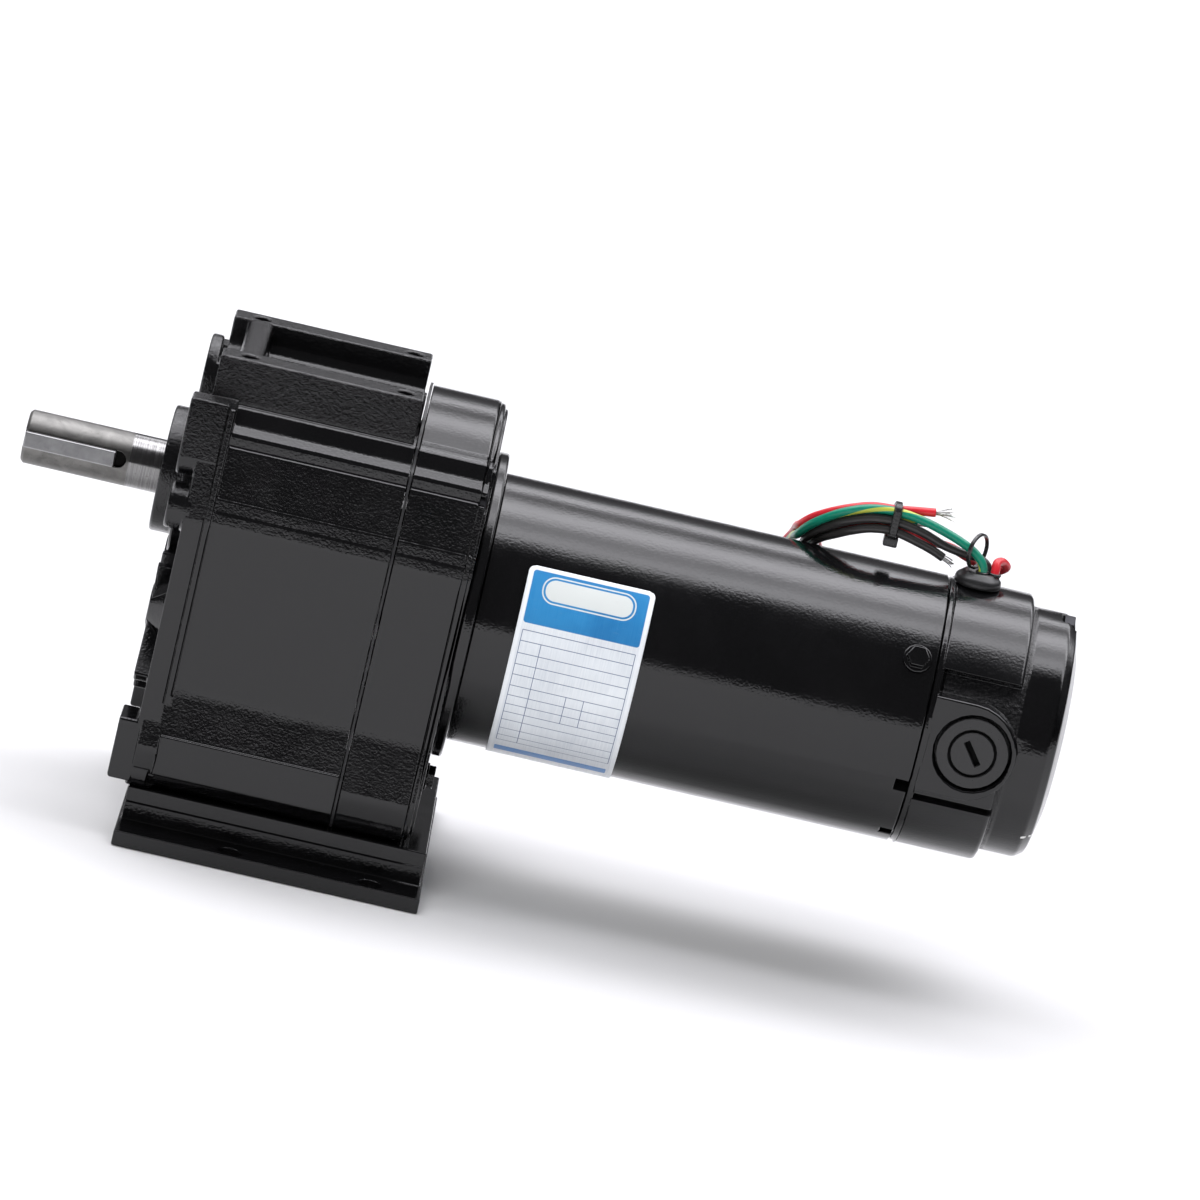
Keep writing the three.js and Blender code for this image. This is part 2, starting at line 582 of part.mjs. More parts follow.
// ---- Bearings and seal ----
// Shielded ball bearing, both races and the shields as one turned ring with a shallow recess on its
// rear face.
function bearing(outer, inner, x0, width) {
  const x1 = x0 + width;
  const middle = (outer + inner) / 2;
  const half = (outer - inner) * 0.22;
  return turned([
    [x0, inner], [x0, outer], [x1, outer], [x1, middle + half], [x1 - 0.6, middle + half],
    [x1 - 0.6, middle - half], [x1, middle - half], [x1, inner], [x0, inner],
  ], 0, 0, 20);
}
place(outputAxis, "output_bearing", bearing(17.46, SHAFT_R + GAP, -45.6, 8.7), metal(0xb0b0b0, 0.25));
place(outputAxis, "output_bushing", ring(11, 7.8, 27, 34, 24), metal(BRONZE, 0.4));
const seal = () => turned([
  [-55, SHAFT_R + GAP], [-55, 13.4], [-49.4, 13.4], [-49.4, 12.4], [-54, 12.4], [-54, SHAFT_R + GAP],
  [-55, SHAFT_R + GAP],
], 0, 0, 24);
place(outputAxis, "output_seal", seal(), paint(0x15130f, 0.6));
const frontBushing = () => ring(8, 4.9, -45.5, -33.5, SMALL_SEGMENTS);
const rearBushing = () => ring(6.9, 4.9, 32.4, 36.8, SMALL_SEGMENTS);
place(intermediateAxis, "intermediate_bushing_front", frontBushing(), metal(BRONZE, 0.4));
place(intermediateAxis, "intermediate_bushing_rear", rearBushing(), metal(BRONZE, 0.4));
place(motorAxis, "motor_bearing_front", bearing(15, 5.2, 44, 9), metal(0xb0b0b0, 0.25));
place(motorAxis, "motor_bearing_rear", bearing(13, 5.2, 202.5, 8), metal(0xb0b0b0, 0.25));
place(motorAxis, "preload_washer", ring(12.6, 8.4, 210.8, 211.4, SMALL_SEGMENTS), metal(0xa0a0a0, 0.3));

// ---- Motor ----
const tubeInner = TUBE_R - TUBE_WALL;

function adapterFlange() {
  const body = turned([
    [37.5, 0], [37.5, 22], [38.9, 22], [38.9, FLANGE_R - 0.6], [39.3, FLANGE_R], [41.7, FLANGE_R],
    [42.1, FLANGE_R - 0.6], [42.1, tubeInner - GAP], [52.5, tubeInner - GAP], [52.5, tubeInner - 4],
    [45.5, 26], [45.5, 19], [53.5, 18.5], [53.5, 0],
  ]);
  const bolts = SIDES.map((side) => rod(2.6, 38, 60, 0, side * BOLT_RADIUS, HOLE_SEGMENTS));
  const screws = SIDES.map((side) => rod(2.6, 30, 43, ...adapterScrewAt(side), HOLE_SEGMENTS));
  const shaftHole = rod(6, 30, 60, 0, 0, SMALL_SEGMENTS);
  const bearingSeat = rod(15.3, 43.7, 60, 0, 0, 24);
  return cut(body, shaftHole, bearingSeat, ...bolts, ...screws);
}
place(motorAxis, "motor_front_bell", adapterFlange(), paint(BLACK));

SIDES.forEach((side, i) => {
  const screw = socketScrew(30, 1, 8, 2.2, 3.8, 4);
  const mesh = place(motorAxis, `adapter_screw_${i + 1}`, screw, metal(BLACK_OXIDE, 0.4));
  mesh.position.set(0, ...adapterScrewAt(side));
});

const TUBE_SCREW = { x: 168.5, up: radians(34) };

// Turns a part that lies along X so that it points out of the tube where the ground screw sits.
const atTubeScrew = (solid) => solid.rotateY(-Math.PI / 2).rotateX(Math.PI / 2 - TUBE_SCREW.up);
const tubeScrewHole = () => atTubeScrew(rod(2.4, 25, 45, 0, 0, 12)).translate(TUBE_SCREW.x, 0, 0);

function motorTube() {
  const tube = ring(TUBE_R, tubeInner, ...TUBE_X, 40);
  const notches = [-21, -55].map((angle) =>
    turnedAboutX(box(TUBE_X[1] - 3.8, TUBE_X[1] + 1, -45, -30, -2, 2), -angle));
  return cut(tube, tubeScrewHole(), ...notches);
}
place(motorAxis, "motor_tube", motorTube(), paint(BLACK));

const tubeScrew = () => atTubeScrew(hexScrew(TUBE_R + GAP, 5.5, 2.1, 4.2, 3.3, 3));
place(motorAxis, "ground_screw", tubeScrew(), paint(BLACK)).position.x = TUBE_SCREW.x;

const plate = () => tubeSector(TUBE_R + 0.6, TUBE_R + GAP, 54.2, 91.3, 36.5, -76, 26);
place(motorAxis, "nameplate", plate(), paint(0xd5dbe2, 0.4));

// ---- Rear end bell ----
// Full-radius pads above and below each brush window, on a smaller core that ends in a domed rear.
function rearBell() {
  const core = turned([
    [166, 0], [166, tubeInner - GAP], [174.6, tubeInner - GAP], [174.6, TUBE_R - 0.4],
    [BELL_LIP_X, TUBE_R - 0.4], [BELL_LIP_X, BELL_CORE_R], [BELL_RIM_X - 1.6, BELL_CORE_R],
    [BELL_RIM_X + 1, BELL_CORE_R - 2], [BELL_END_X - 1.2, 26], [BELL_END_X, 14], [BELL_END_X, 0],
  ]);
  const lipX = BELL_LIP_X - 0.4;
  const padRing = turned([
    [lipX, 30], [lipX, TUBE_R], [BELL_PAD_END_X - 0.8, TUBE_R], [BELL_PAD_END_X, TUBE_R - 0.8],
    [BELL_PAD_END_X, 30], [lipX, 30],
  ]);
  const windowHalf = (WINDOW[1] - WINDOW[0]) / 2;
  const windowMiddle = (WINDOW[1] + WINDOW[0]) / 2;
  const reach = 60 * Math.tan(radians(windowHalf));
  const wedge = extrudedX([[0, 0], [-60, -reach], [-60, reach]], 170, 205);
  const windows = [-windowMiddle, 180 + windowMiddle].map((angle) => turnedAboutX(wedge, angle));
  const brushBosses = SIDES.map((side) => {
    const [y0, y1] = ordered(side * 25, side * BRUSH_FACE_Y);
    const { x, r } = BRUSH_BOSS;
    const ledge = box(lipX, LEDGE.endX, ...ordered(side * 25, side * LEDGE.y), ...LEDGE.z);
    const round = common(rodY(r, y0, y1, x, 0, 28), box(x - 1, x + r + 1, y0, y1, -r, r));
    return joined(round, box(lipX, x, y0, y1, -r, r), ledge);
  });
  const outside = joined(core, cut(padRing, ...windows), ...brushBosses);
  const hollow = turned([[165, 0], [165, 32.5], [198, 32.5], [201.5, 27], [201.5, 0]], 0, 0, 20);
  const hubs = SIDES.map((side) => {
    const [y0, y1] = ordered(side * 22, side * 33);
    return rodY(10.8, y0, y1, BRUSH_X, 0, 16);
  });
  const boltLands = SIDES.map((side) => rod(4.2, 166, 202, 0, side * BOLT_RADIUS, 10));
  const skin = rod(tubeInner - GAP, 160, 205);
  const bearingHub = ring(17, 13.3, 199, 204, 20);
  const brushBores = SIDES.flatMap((side) => {
    const span = (a, b) => ordered(side * a, side * b);
    return [
      rodY(8.4, ...span(15, 45), BRUSH_X, 0, 16),
      rodY(11.3, ...span(BRUSH_FACE_Y - 3.4, 45), BRUSH_X, 0, 24),
    ];
  });
  const boltHoles = SIDES.flatMap((side) => [
    rod(2.6, 160, 220, 0, side * BOLT_RADIUS, HOLE_SEGMENTS),
    rod(4.9, 209.4, 220, 0, side * (BOLT_RADIUS + 0.4), 12),
  ]);
  return cut(
    joined(cut(outside, hollow), ...hubs, ...boltLands.map((land) => common(land, skin)), bearingHub),
    rod(13.4, 201, 212.2, 0, 0, 20),
    tubeScrewHole(),
    ...brushBores,
    ...boltHoles,
    rodZ(4.3, 35.6, 45, GROMMET.x, 0, 12),
  );
}
place(motorAxis, "rear_end_bell", rearBell(), paint(BLACK));

SIDES.forEach((side, i) => {
  const bolt = joined(rod(2.1, 45, 210, 0, 0, HOLE_SEGMENTS), rod(3.9, 209.7, 212.9, 0, 0, 6));
  place(motorAxis, `through_bolt_${i + 1}`, bolt, paint(BLACK, 0.35)).position.z = side * BOLT_RADIUS;
});

[0, 180].forEach((turn, i) => {
  const magnet = turnedAboutX(tubeSector(tubeInner - GAP, 30, 66, 146, 62, -62, 10), turn);
  place(motorAxis, `magnet_${i + 1}`, magnet, paint(0x2b2b2e, 0.7));
});

// ---- Armature ----
const CORE_X = [74, 138];
const SLOTS = 12;
function armatureCore() {
  const slots = [];
  for (let i = 0; i < SLOTS; i += 1) {
    slots.push(turnedAboutX(box(70, 142, -1.3, 1.3, 18, 32), (i * 360) / SLOTS));
  }
  return cut(rod(29, ...CORE_X, 0, 0, 36), rod(6.5, 70, 142, 0, 0, SMALL_SEGMENTS), ...slots);
}
place(motorAxis, "armature_core", armatureCore(), metal(0x6a6a6c, 0.5));

const winding = (x0, x1) => turned([
  [x0, 8], [x0 + 2, 22], [x0 + 5, 25.5], [x1, 26.5], [x1, 8], [x0, 8],
], 0, 0, 20);
place(motorAxis, "armature_winding_front", winding(60, CORE_X[0] - GAP), metal(COPPER, 0.4));
const rearWinding = winding(60, CORE_X[0] - GAP).scale(-1, 1, 1).translate(CORE_X[0] + CORE_X[1], 0, 0);
place(motorAxis, "armature_winding_rear", rearWinding, metal(COPPER, 0.4));
place(motorAxis, "commutator", ring(13, 6.5, 181, 199, 24), metal(0xb36a3a, 0.35));

// ---- Brush gear, one set on each side ----
const BRUSH = { tip: 13.4, back: 24.5, width: 8, height: 6 };
SIDES.forEach((side, i) => {
  const span = (a, b) => ordered(side * a, side * b);
  const slotBox = (w, h, a, b) => box(BRUSH_X - w / 2, BRUSH_X + w / 2, ...span(a, b), -h / 2, h / 2);
  const holder = cut(
    rodY(8, ...span(15, 34.6), BRUSH_X, 0, 16),
    slotBox(BRUSH.width + 0.6, BRUSH.height + 0.6, 10, 31.4),
    rodY(7.4, ...span(31, 40), BRUSH_X, 0, 16),
  );
  place(motorAxis, `brush_holder_${i + 1}`, holder, metal(0xb08d45, 0.4));
  const brush = slotBox(BRUSH.width, BRUSH.height, BRUSH.tip, BRUSH.back);
  place(motorAxis, `brush_${i + 1}`, brush, paint(0x2d2d2f, 0.6));

  const coils = 4;
  const springStart = BRUSH.back + 1;
  const springPitch = 1.55;
  class Helix extends THREE.Curve {
    getPoint(t, target = new THREE.Vector3()) {
      const angle = 2 * Math.PI * coils * t;
      const y = side * (springStart + springPitch * coils * t);
      return target.set(2.2 * Math.cos(angle), y, 2.2 * Math.sin(angle));
    }
  }
  const wire = new THREE.Shape(arc(0, 0, 0.32, 0, 270, 3).map(([u, v]) => new THREE.Vector2(u, v)));
  const winding = { steps: coils * 6, extrudePath: new Helix(), bevelEnabled: false };
  const spring = new THREE.ExtrudeGeometry(wire, winding);
  place(motorAxis, `brush_spring_${i + 1}`, spring, metal(0xc0c0c0, 0.3)).position.x = BRUSH_X;

  const cap = joined(
    rodY(10.4, ...span(BRUSH_FACE_Y - 3, BRUSH_FACE_Y), BRUSH_X, 0, 28),
    rodY(6.9, ...span(32.4, BRUSH_FACE_Y - 2), BRUSH_X, 0, 12),
  );
  const face = span(BRUSH_FACE_Y - 2, BRUSH_FACE_Y + 1);
  const grooveY = span(BRUSH_FACE_Y - 1.1, BRUSH_FACE_Y + 1);
  const groove = cut(rodY(7.1, ...grooveY, BRUSH_X, 0, 24), rodY(6.3, -50, 50, BRUSH_X, 0, 24));
  const slot = box(-3.9, 3.9, ...face, -0.85, 0.85).rotateY(radians(54)).translate(BRUSH_X, 0, 0);
  place(motorAxis, `brush_cap_${i + 1}`, cut(cap, groove, slot), paint(0x131313, 0.4));
});

// ---- Leads ----
// Three leads leave the grommet, run through the cable tie and over the tube, turn back in a flat loop
// that lies against the tube's far side, and come back to the tie, where they end in bare strands.
const LEAD_R = 1.3;
const LEAD_PITCH = 2.95; // between neighbouring runs in the bundle
const TIE_X = 155;
const TUBE_LAY_R = 42.88; // middle of the bundle's two layers, from the motor axis
// Middle of the bundle from the tie to the tube's far side, 20 degrees down from the top.
const BUNDLE = [
  [TIE_X, 0, 53], [148.2, 0.2, 52.3], [142.3, 1.7, 49.9], [137.8, 5, 46.9], [134.2, 9.7, 43.6],
  [132, TUBE_LAY_R * Math.sin(radians(20)), TUBE_LAY_R * Math.cos(radians(20))],
];
const layers = [-1, 1, 3].map((step) => TUBE_LAY_R + (step * LEAD_PITCH) / 2);

// One run's route through the bundle. Rows stack upwards at the tie and towards -X on the far side;
// columns are near and far at the tie, and under and over on the far side.
function lane(row, column) {
  return BUNDLE.map((at, i) => {
    const before = new THREE.Vector3(...BUNDLE[Math.max(0, i - 1)]);
    const after = new THREE.Vector3(...BUNDLE[Math.min(BUNDLE.length - 1, i + 1)]);
    const along = i === 0 ? new THREE.Vector3(-1, 0, 0) : after.sub(before).normalize();
    const share = i / (BUNDLE.length - 1);
    const up = new THREE.Vector3(-share, 0, 1 - share);
    up.addScaledVector(along, -up.dot(along)).normalize();
    const across = along.clone().cross(up);
    return new THREE.Vector3(...at)
      .addScaledVector(up, row * LEAD_PITCH)
      .addScaledVector(across, (column * LEAD_PITCH) / 2)
      .toArray();
  });
}

// A point beside the tube: its x, its distance from the motor axis, and its angle down from the top.
const beside = (x, r, degrees) => [x, r * Math.sin(radians(degrees)), r * Math.cos(radians(degrees))];

const [UNDER, MIDDLE, OVER] = layers;
const LEADS = {
  black: {
    color: 0x1b1b1c,
    out: [[184.3, 1.1, 45.3], [183, 1.1, 46.6], [180.3, 1.1, 47.5], [176.5, 0.4, 47.9], [170.5, -1, 49.2],
      [163.5, -1.45, 51.6]],
    outLane: [0, -1],
    loop: [
      [131.6, UNDER, 33], [130.4, UNDER, 42], [128.6, UNDER, 50], [127.9, UNDER, 56], [129.2, UNDER, 61.5],
      [133, UNDER, 63.6], [136.8, UNDER, 61.5], [138.1, UNDER, 56], [137.5, UNDER, 50], [136, UNDER, 42],
      [135.2, UNDER, 33],
    ],
    endLane: [-1, -1],
    end: [[163, -1.45, 48.4], [167.5, -1.45, 47.1], [171, -1.45, 45.7]],
  },
  green: {
    color: 0x12805f,
    out: [[183, -1.9, 45.3], [181.9, -1.9, 47.3], [179.4, -1.8, 49.4], [175.8, -1.7, 51.2], [170, -1.5, 53.2],
      [163, -1.45, 55]],
    outLane: [1, -1],
    loop: [
      [128.7, (UNDER + MIDDLE) / 2, 31], [128.3, MIDDLE, 40], [126.8, MIDDLE, 49], [126, MIDDLE, 57],
      [126.3, MIDDLE, 63], [128.2, MIDDLE, 68.3], [132, MIDDLE, 69.7], [135.8, MIDDLE, 68.3],
      [137.6, MIDDLE, 62], [137, MIDDLE, 53], [134.5, MIDDLE, 43], [132.6, MIDDLE, 30],
    ],
    endLane: [0, 1],
    end: [[158.5, 1.5, 53.2], [161.5, 1.5, 53.4]],
  },
  red: {
    color: 0xd2202c,
    out: [[186.8, -0.4, 45.3], [186.8, 0.9, 47], [188.3, 3.7, 47.2], [190.2, 6.8, 45.2], [188.4, 9.2, 43.2],
      [183.4, 9.4, 43.4], [178, 6, 45.8], [172.5, 2.8, 48.2], [163, 1.55, 49.1]],
    outLane: [-1, 1],
    loop: [
      [135.2, (MIDDLE + OVER) / 2, 31], [135.8, OVER, 42], [137.5, OVER, 50], [139.6, OVER, 58],
      [140, OVER, 66], [137.7, OVER, 74.9], [132, OVER, 77.7], [126.3, OVER, 74.9], [124, OVER, 66],
      [124.6, OVER, 58], [126.8, OVER, 50], [128.6, OVER, 42], [128.9, (MIDDLE + OVER) / 2, 31],
    ],
    endLane: [1, 1],
    end: [[160.5, 1.45, 56.8], [166, 1.4, 57.6]],
  },
};

function leadRoute({ out, outLane, loop, endLane, end }) {
  const away = [...out, ...lane(...outLane), ...loop.map((p) => beside(...p))];
  const points = [...away, ...lane(...endLane).reverse(), ...end];
  return new THREE.CatmullRomCurve3(points.map((p) => new THREE.Vector3(...p)));
}

function tubeAlong(curve, radius, sides, steps) {
  const section = new THREE.Shape(arc(0, 0, radius, 0, 360 - 360 / sides, sides - 1)
    .map(([u, v]) => new THREE.Vector2(u, v)));
  return new THREE.ExtrudeGeometry(section, { steps, extrudePath: curve, bevelEnabled: false });
}

for (const [name, lead] of Object.entries(LEADS)) {
  const route = leadRoute(lead);
  place(motorAxis, `lead_${name}`, tubeAlong(route, LEAD_R, 6, 52), paint(lead.color, 0.5));
  const tip = route.getPoint(1);
  const along = route.getTangent(1);
  const strands = new THREE.LineCurve3(
    tip.clone().addScaledVector(along, GAP),
    tip.clone().addScaledVector(along, 4.5),
  );
  place(motorAxis, `lead_${name}_strands`, tubeAlong(strands, 0.7, 6, 1), metal(0xc9c9c6, 0.35));
}

const grommet = () => joined(
  rodZ(3.9, 36, 41, GROMMET.x, 0, 12),
  turned([
    [40.1, 0], [40.1, GROMMET.flangeR], [GROMMET.shoulderZ, GROMMET.flangeR], [GROMMET.topZ, GROMMET.topR],
    [GROMMET.topZ, 0],
  ], 0, 0, 20).rotateY(-Math.PI / 2).translate(GROMMET.x, 0, 0),
);
place(motorAxis, "lead_grommet", grommet(), paint(0x141414, 0.6));

function bundleTie() {
  const half = { y: LEAD_PITCH / 2 + LEAD_R + 0.35, z: LEAD_PITCH + LEAD_R + 0.4 };
  const outline = (grow) => {
    const [y, z, r] = [half.y + grow, half.z + grow, 1.2 + grow];
    return [
      ...arc(y - r, z - r, r, 0, 90, 3), ...arc(r - y, z - r, r, 90, 180, 3),
      ...arc(r - y, r - z, r, 180, 270, 3), ...arc(y - r, r - z, r, 270, 360, 3),
    ];
  };
  const band = extrudedX(outline(1), -1.25, 1.25, [outline(0)]);
  return joined(band, box(-2.2, 2.2, -2.3, 2.3, -half.z - 3.4, -half.z - 0.3));
}
place(motorAxis, "cable_tie_1", bundleTie(), paint(0x171717, 0.45)).position.set(...BUNDLE[0]);
const grommetTie = place(motorAxis, "cable_tie_2", ring(5.4, 4.8, -0.6, 0.6, 20), paint(0x171717, 0.45));
grommetTie.position.set(180.4, 0, 49.6);
grommetTie.rotation.z = radians(-32);

export default group;
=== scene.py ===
import json
import math
import random

import bmesh
import bpy
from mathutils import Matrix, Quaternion, Vector, noise


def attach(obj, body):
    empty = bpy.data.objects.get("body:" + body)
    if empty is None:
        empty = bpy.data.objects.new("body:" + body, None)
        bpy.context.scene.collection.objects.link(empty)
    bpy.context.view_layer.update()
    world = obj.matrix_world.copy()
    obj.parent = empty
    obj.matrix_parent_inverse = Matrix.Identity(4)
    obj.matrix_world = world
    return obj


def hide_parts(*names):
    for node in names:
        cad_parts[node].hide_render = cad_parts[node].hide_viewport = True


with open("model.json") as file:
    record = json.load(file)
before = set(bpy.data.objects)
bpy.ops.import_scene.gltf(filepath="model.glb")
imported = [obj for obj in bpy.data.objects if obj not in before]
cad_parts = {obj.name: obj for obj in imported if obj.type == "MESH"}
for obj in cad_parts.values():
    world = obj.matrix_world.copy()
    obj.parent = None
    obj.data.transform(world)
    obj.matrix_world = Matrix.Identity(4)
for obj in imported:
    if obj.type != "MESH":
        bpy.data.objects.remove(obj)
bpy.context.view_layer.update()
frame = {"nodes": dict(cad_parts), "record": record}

MM = 0.001
# Millimetres: the heights of the motor's and the output shaft's axes, and the motor tube's radius.
MOTOR_Z = 79.0
OUTPUT_Z = 98.5
TUBE_R = 39.75
FULL_TURN = 2 * math.pi
collection = bpy.context.scene.collection


# ---- Camera ----
CAMERA_ANGLES = (-1.8, 14.1, 13.4)  # degrees: azimuth, elevation and roll
CAMERA_TARGET = Vector((0.077, 0.0, 0.089))
CAMERA_DISTANCE = 2.27
CAMERA_LENS, SENSOR_WIDTH = 234.0, 36.0  # millimetres
CLIP_NEAR, CLIP_FAR = 0.05, 60.0


def make_camera():
    azimuth, elevation, roll = (math.radians(angle) for angle in CAMERA_ANGLES)
    back = Vector((
        math.sin(azimuth) * math.cos(elevation),
        -math.cos(azimuth) * math.cos(elevation),
        math.sin(elevation),
    ))
    data = bpy.data.cameras.new("camera")
    data.lens, data.sensor_width = CAMERA_LENS, SENSOR_WIDTH
    data.clip_start, data.clip_end = CLIP_NEAR, CLIP_FAR
    camera = bpy.data.objects.new("camera", data)
    camera.rotation_mode = "QUATERNION"
    camera.location = CAMERA_TARGET + back * CAMERA_DISTANCE
    camera.rotation_quaternion = (-back).to_track_quat("-Z", "Y") @ Quaternion((0, 0, 1), roll)
    collection.objects.link(camera)
    bpy.context.scene.camera = camera


make_camera()


# ---- Nodes ----
class Nodes:
    """Short ways to add shader nodes. An input may be a value or another node's output.

    add() takes an input by its name, or by its number as i0, i1 and so on."""

    def __init__(self, tree):
        self.tree = tree

    def add(self, kind, settings=None, **inputs):
        made = self.tree.nodes.new("ShaderNode" + kind)
        for key, value in (settings or {}).items():
            setattr(made, key, value)
        for key, value in inputs.items():
            which = int(key[1:]) if key[1:].isdigit() else key.replace("_", " ")
            self.give(made.inputs[which], value)
        return made

    def give(self, socket, value):
        if isinstance(value, bpy.types.NodeSocket):
            self.tree.links.new(value, socket)
        else:
            socket.default_value = value

    def math(self, operation, a, b=0.0):
        return self.add("Math", {"operation": operation}, i0=a, i1=b).outputs[0]

    def times(self, a, b):
        return self.math("MULTIPLY", a, b)

    def minus(self, a, b):
        return self.math("SUBTRACT", a, b)

    def size(self, value):
        return self.math("ABSOLUTE", value)

    def most(self, a, b):
        return self.math("MAXIMUM", a, b)

    def total(self, *terms):
        """Adds the terms. One that is a pair counts as their product."""
        values = [self.times(*term) if isinstance(term, tuple) else term for term in terms]
        result = values[0]
        for value in values[1:]:
            result = self.math("ADD", result, value)
        return result

    def distance(self, a, b):
        return self.math("SQRT", self.total((a, a), (b, b)))

    def noise(self, vector, scale, detail=2.0, roughness=0.5, distortion=0.0):
        made = self.add("TexNoise", None, Vector=vector, Scale=scale, Detail=detail,
                        Roughness=roughness, Distortion=distortion)
        return made.outputs[0]

    def remap(self, value, low, high, to_low=0.0, to_high=1.0, smooth=False):
        kind = {"interpolation_type": "SMOOTHSTEP" if smooth else "LINEAR"}
        made = self.add("MapRange", kind, i0=value, i1=low, i2=high, i3=to_low, i4=to_high)
        return made.outputs[0]

    def above(self, value, level, soft=0.0005):
        """1 where value is over level and 0 where it is under it, with soft on either side."""
        return self.remap(value, level - soft, level + soft)

    def below(self, value, level, soft=0.0005):
        return self.remap(value, level + soft, level - soft)

    def within(self, value, limits, soft=0.0004):
        """1 where value lies between the two limits."""
        return self.times(self.above(value, limits[0], soft), self.below(value, limits[1], soft))

    def mix(self, factor, a, b):
        made = self.add("Mix", {"data_type": "RGBA"}, i0=factor)
        for socket, value in ((made.inputs[6], a), (made.inputs[7], b)):
            self.give(socket, value if isinstance(value, bpy.types.NodeSocket) else (*value, 1.0))
        return made.outputs[2]

    def blend(self, factor, a, b):
        made = self.add("Mix", {"data_type": "FLOAT"}, i0=factor)
        self.give(made.inputs[2], a)
        self.give(made.inputs[3], b)
        return made.outputs[0]

    def scaled(self, vector, x, y, z):
        made = self.add("VectorMath", {"operation": "MULTIPLY"}, i0=vector)
        made.inputs[1].default_value = (x, y, z)
        return made.outputs[0]


class Finish(Nodes):
    """A material under construction, with object coordinates and its shader at hand."""

    def __init__(self, name, **constants):
        self.material = bpy.data.materials.new(name)
        self.material.use_nodes = True
        super().__init__(self.material.node_tree)
        self.shader = self.tree.nodes["Principled BSDF"]
        for key, value in constants.items():
            self.shader.inputs[key.replace("_", " ")].default_value = value
        self.at = self.add("TexCoord").outputs["Object"]
        split = self.add("SeparateXYZ", None, i0=self.at).outputs
        self.x, self.y, self.z = split[0], split[1], split[2]

    def set(self, **inputs):
        for key, value in inputs.items():
            self.give(self.shader.inputs[key.replace("_", " ")], value)

    def relief(self, height):
        """Bumps the surface by a height in metres."""
        bump = self.add("Bump", None, Strength=1.0, Distance=1.0, Height=height)
        self.set(Normal=bump.outputs[0])

    def edges(self, radius, low=0.02, high=0.25):
        """1 along convex and concave edges, 0 on plain surfaces."""
        soft = self.add("Bevel", {"samples": 4}, Radius=radius).outputs[0]
        flat = self.add("NewGeometry").outputs["Normal"]
        dot = self.add("VectorMath", {"operation": "DOT_PRODUCT"}, i0=soft, i1=flat).outputs["Value"]
        return self.remap(self.minus(1.0, dot), low, high)


# ---- Materials ----
# Places where a finish changes, in metres in the CAD's frame.
FRONT_FACE_X, FRONT_UPPER_Z = -0.038, 0.0925
RAIL_FOOT_Z, RAIL_TOP_Z, RAIL_OUTER_Y = 0.1299, 0.1413, 0.0267
PATCHY_Z = (0.072, 0.093)
BELL_RECESS_X, BELL_RECESS_R = (0.1776, 0.2015), 0.03705
CHIPS_X, CHIPS_Y, CHIPS_LEVEL = ((0.2104, 0.2119), (0.2127, 0.2146)), -0.0243, (0.00235, 0.0031)
GROUND_X = -0.0651
KEYSEAT_X, KEYSEAT_R = (-0.0956, -0.062), 0.00725
CAP_X, CAP_FACE_Y, CAP_SLOT_R = 0.19, 0.038325, 0.00895

ENAMEL_BLACK = (0.0028, 0.0028, 0.0031)
ENAMEL_DUSTY = (0.012, 0.0118, 0.012)
ENAMEL_SMEARED = (0.0055, 0.0054, 0.0058)
# The next tone is partly paint wear and partly a painted highlight along the edges.
ENAMEL_WEAR_AND_HIGHLIGHT = (0.04, 0.039, 0.038)
BARE_CHIP = (0.72, 0.72, 0.7)


def enamel(name, cast_mask=None, chips=None):
    """Gloss black enamel. cast_mask gives where raw cast skin shows, chips where paint is missing."""
    f = Finish(name, IOR=1.5)
    wave = f.noise(f.at, 75, 1.5)
    peel = f.noise(f.at, 640, 2.0, 0.45)
    orange = f.noise(f.at, 1350, 1.5, 0.5)
    fine = f.noise(f.at, 2400, 3.0, 0.6)
    drawn = f.noise(f.scaled(f.at, 0.12, 1, 1), 900, 3.0, 0.6)
    dust = f.remap(f.noise(f.at, 1500, 4.0, 0.7), 0.58, 0.74)
    smear = f.remap(f.noise(f.scaled(f.at, 1, 1, 0.4), 45, 4.0, 0.6, 1.2), 0.42, 0.7)
    # Lighter, rougher spots along the edges: partly paint wear, partly a painted highlight.
    wear_and_edge_highlight = f.times(f.edges(0.0004), f.remap(f.noise(f.at, 260, 3.0, 0.6), 0.5, 0.62))
    colour = f.mix(f.times(dust, 0.3), ENAMEL_BLACK, ENAMEL_DUSTY)
    colour = f.mix(f.times(smear, 0.35), colour, ENAMEL_SMEARED)
    colour = f.mix(f.times(wear_and_edge_highlight, 0.45), colour, ENAMEL_WEAR_AND_HIGHLIGHT)
    rough = f.total(0.07, (fine, 0.05), (smear, 0.07), (wear_and_edge_highlight, 0.25))
    # Heights in metres.
    height = f.total((wave, 0.0001), (peel, 0.000018), (orange, 0.00004), (fine, 0.00001), (drawn, 0.00001))
    if cast_mask:
        mask = cast_mask(f)
        pits = f.noise(f.at, 1100, 4.0, 0.62, 0.5)
        lumps = f.noise(f.at, 330, 3.0, 0.55)
        height = f.total(height, (f.total((pits, 0.00036), (lumps, 0.00014)), mask))
        rough = f.total(rough, (mask, 0.05))
    if chips:
        bare = chips(f)
        colour = f.mix(bare, colour, BARE_CHIP)
        rough = f.total(rough, (bare, 0.5))
    f.set(Base_Color=colour, Roughness=rough)
    f.relief(height)
    return f.material


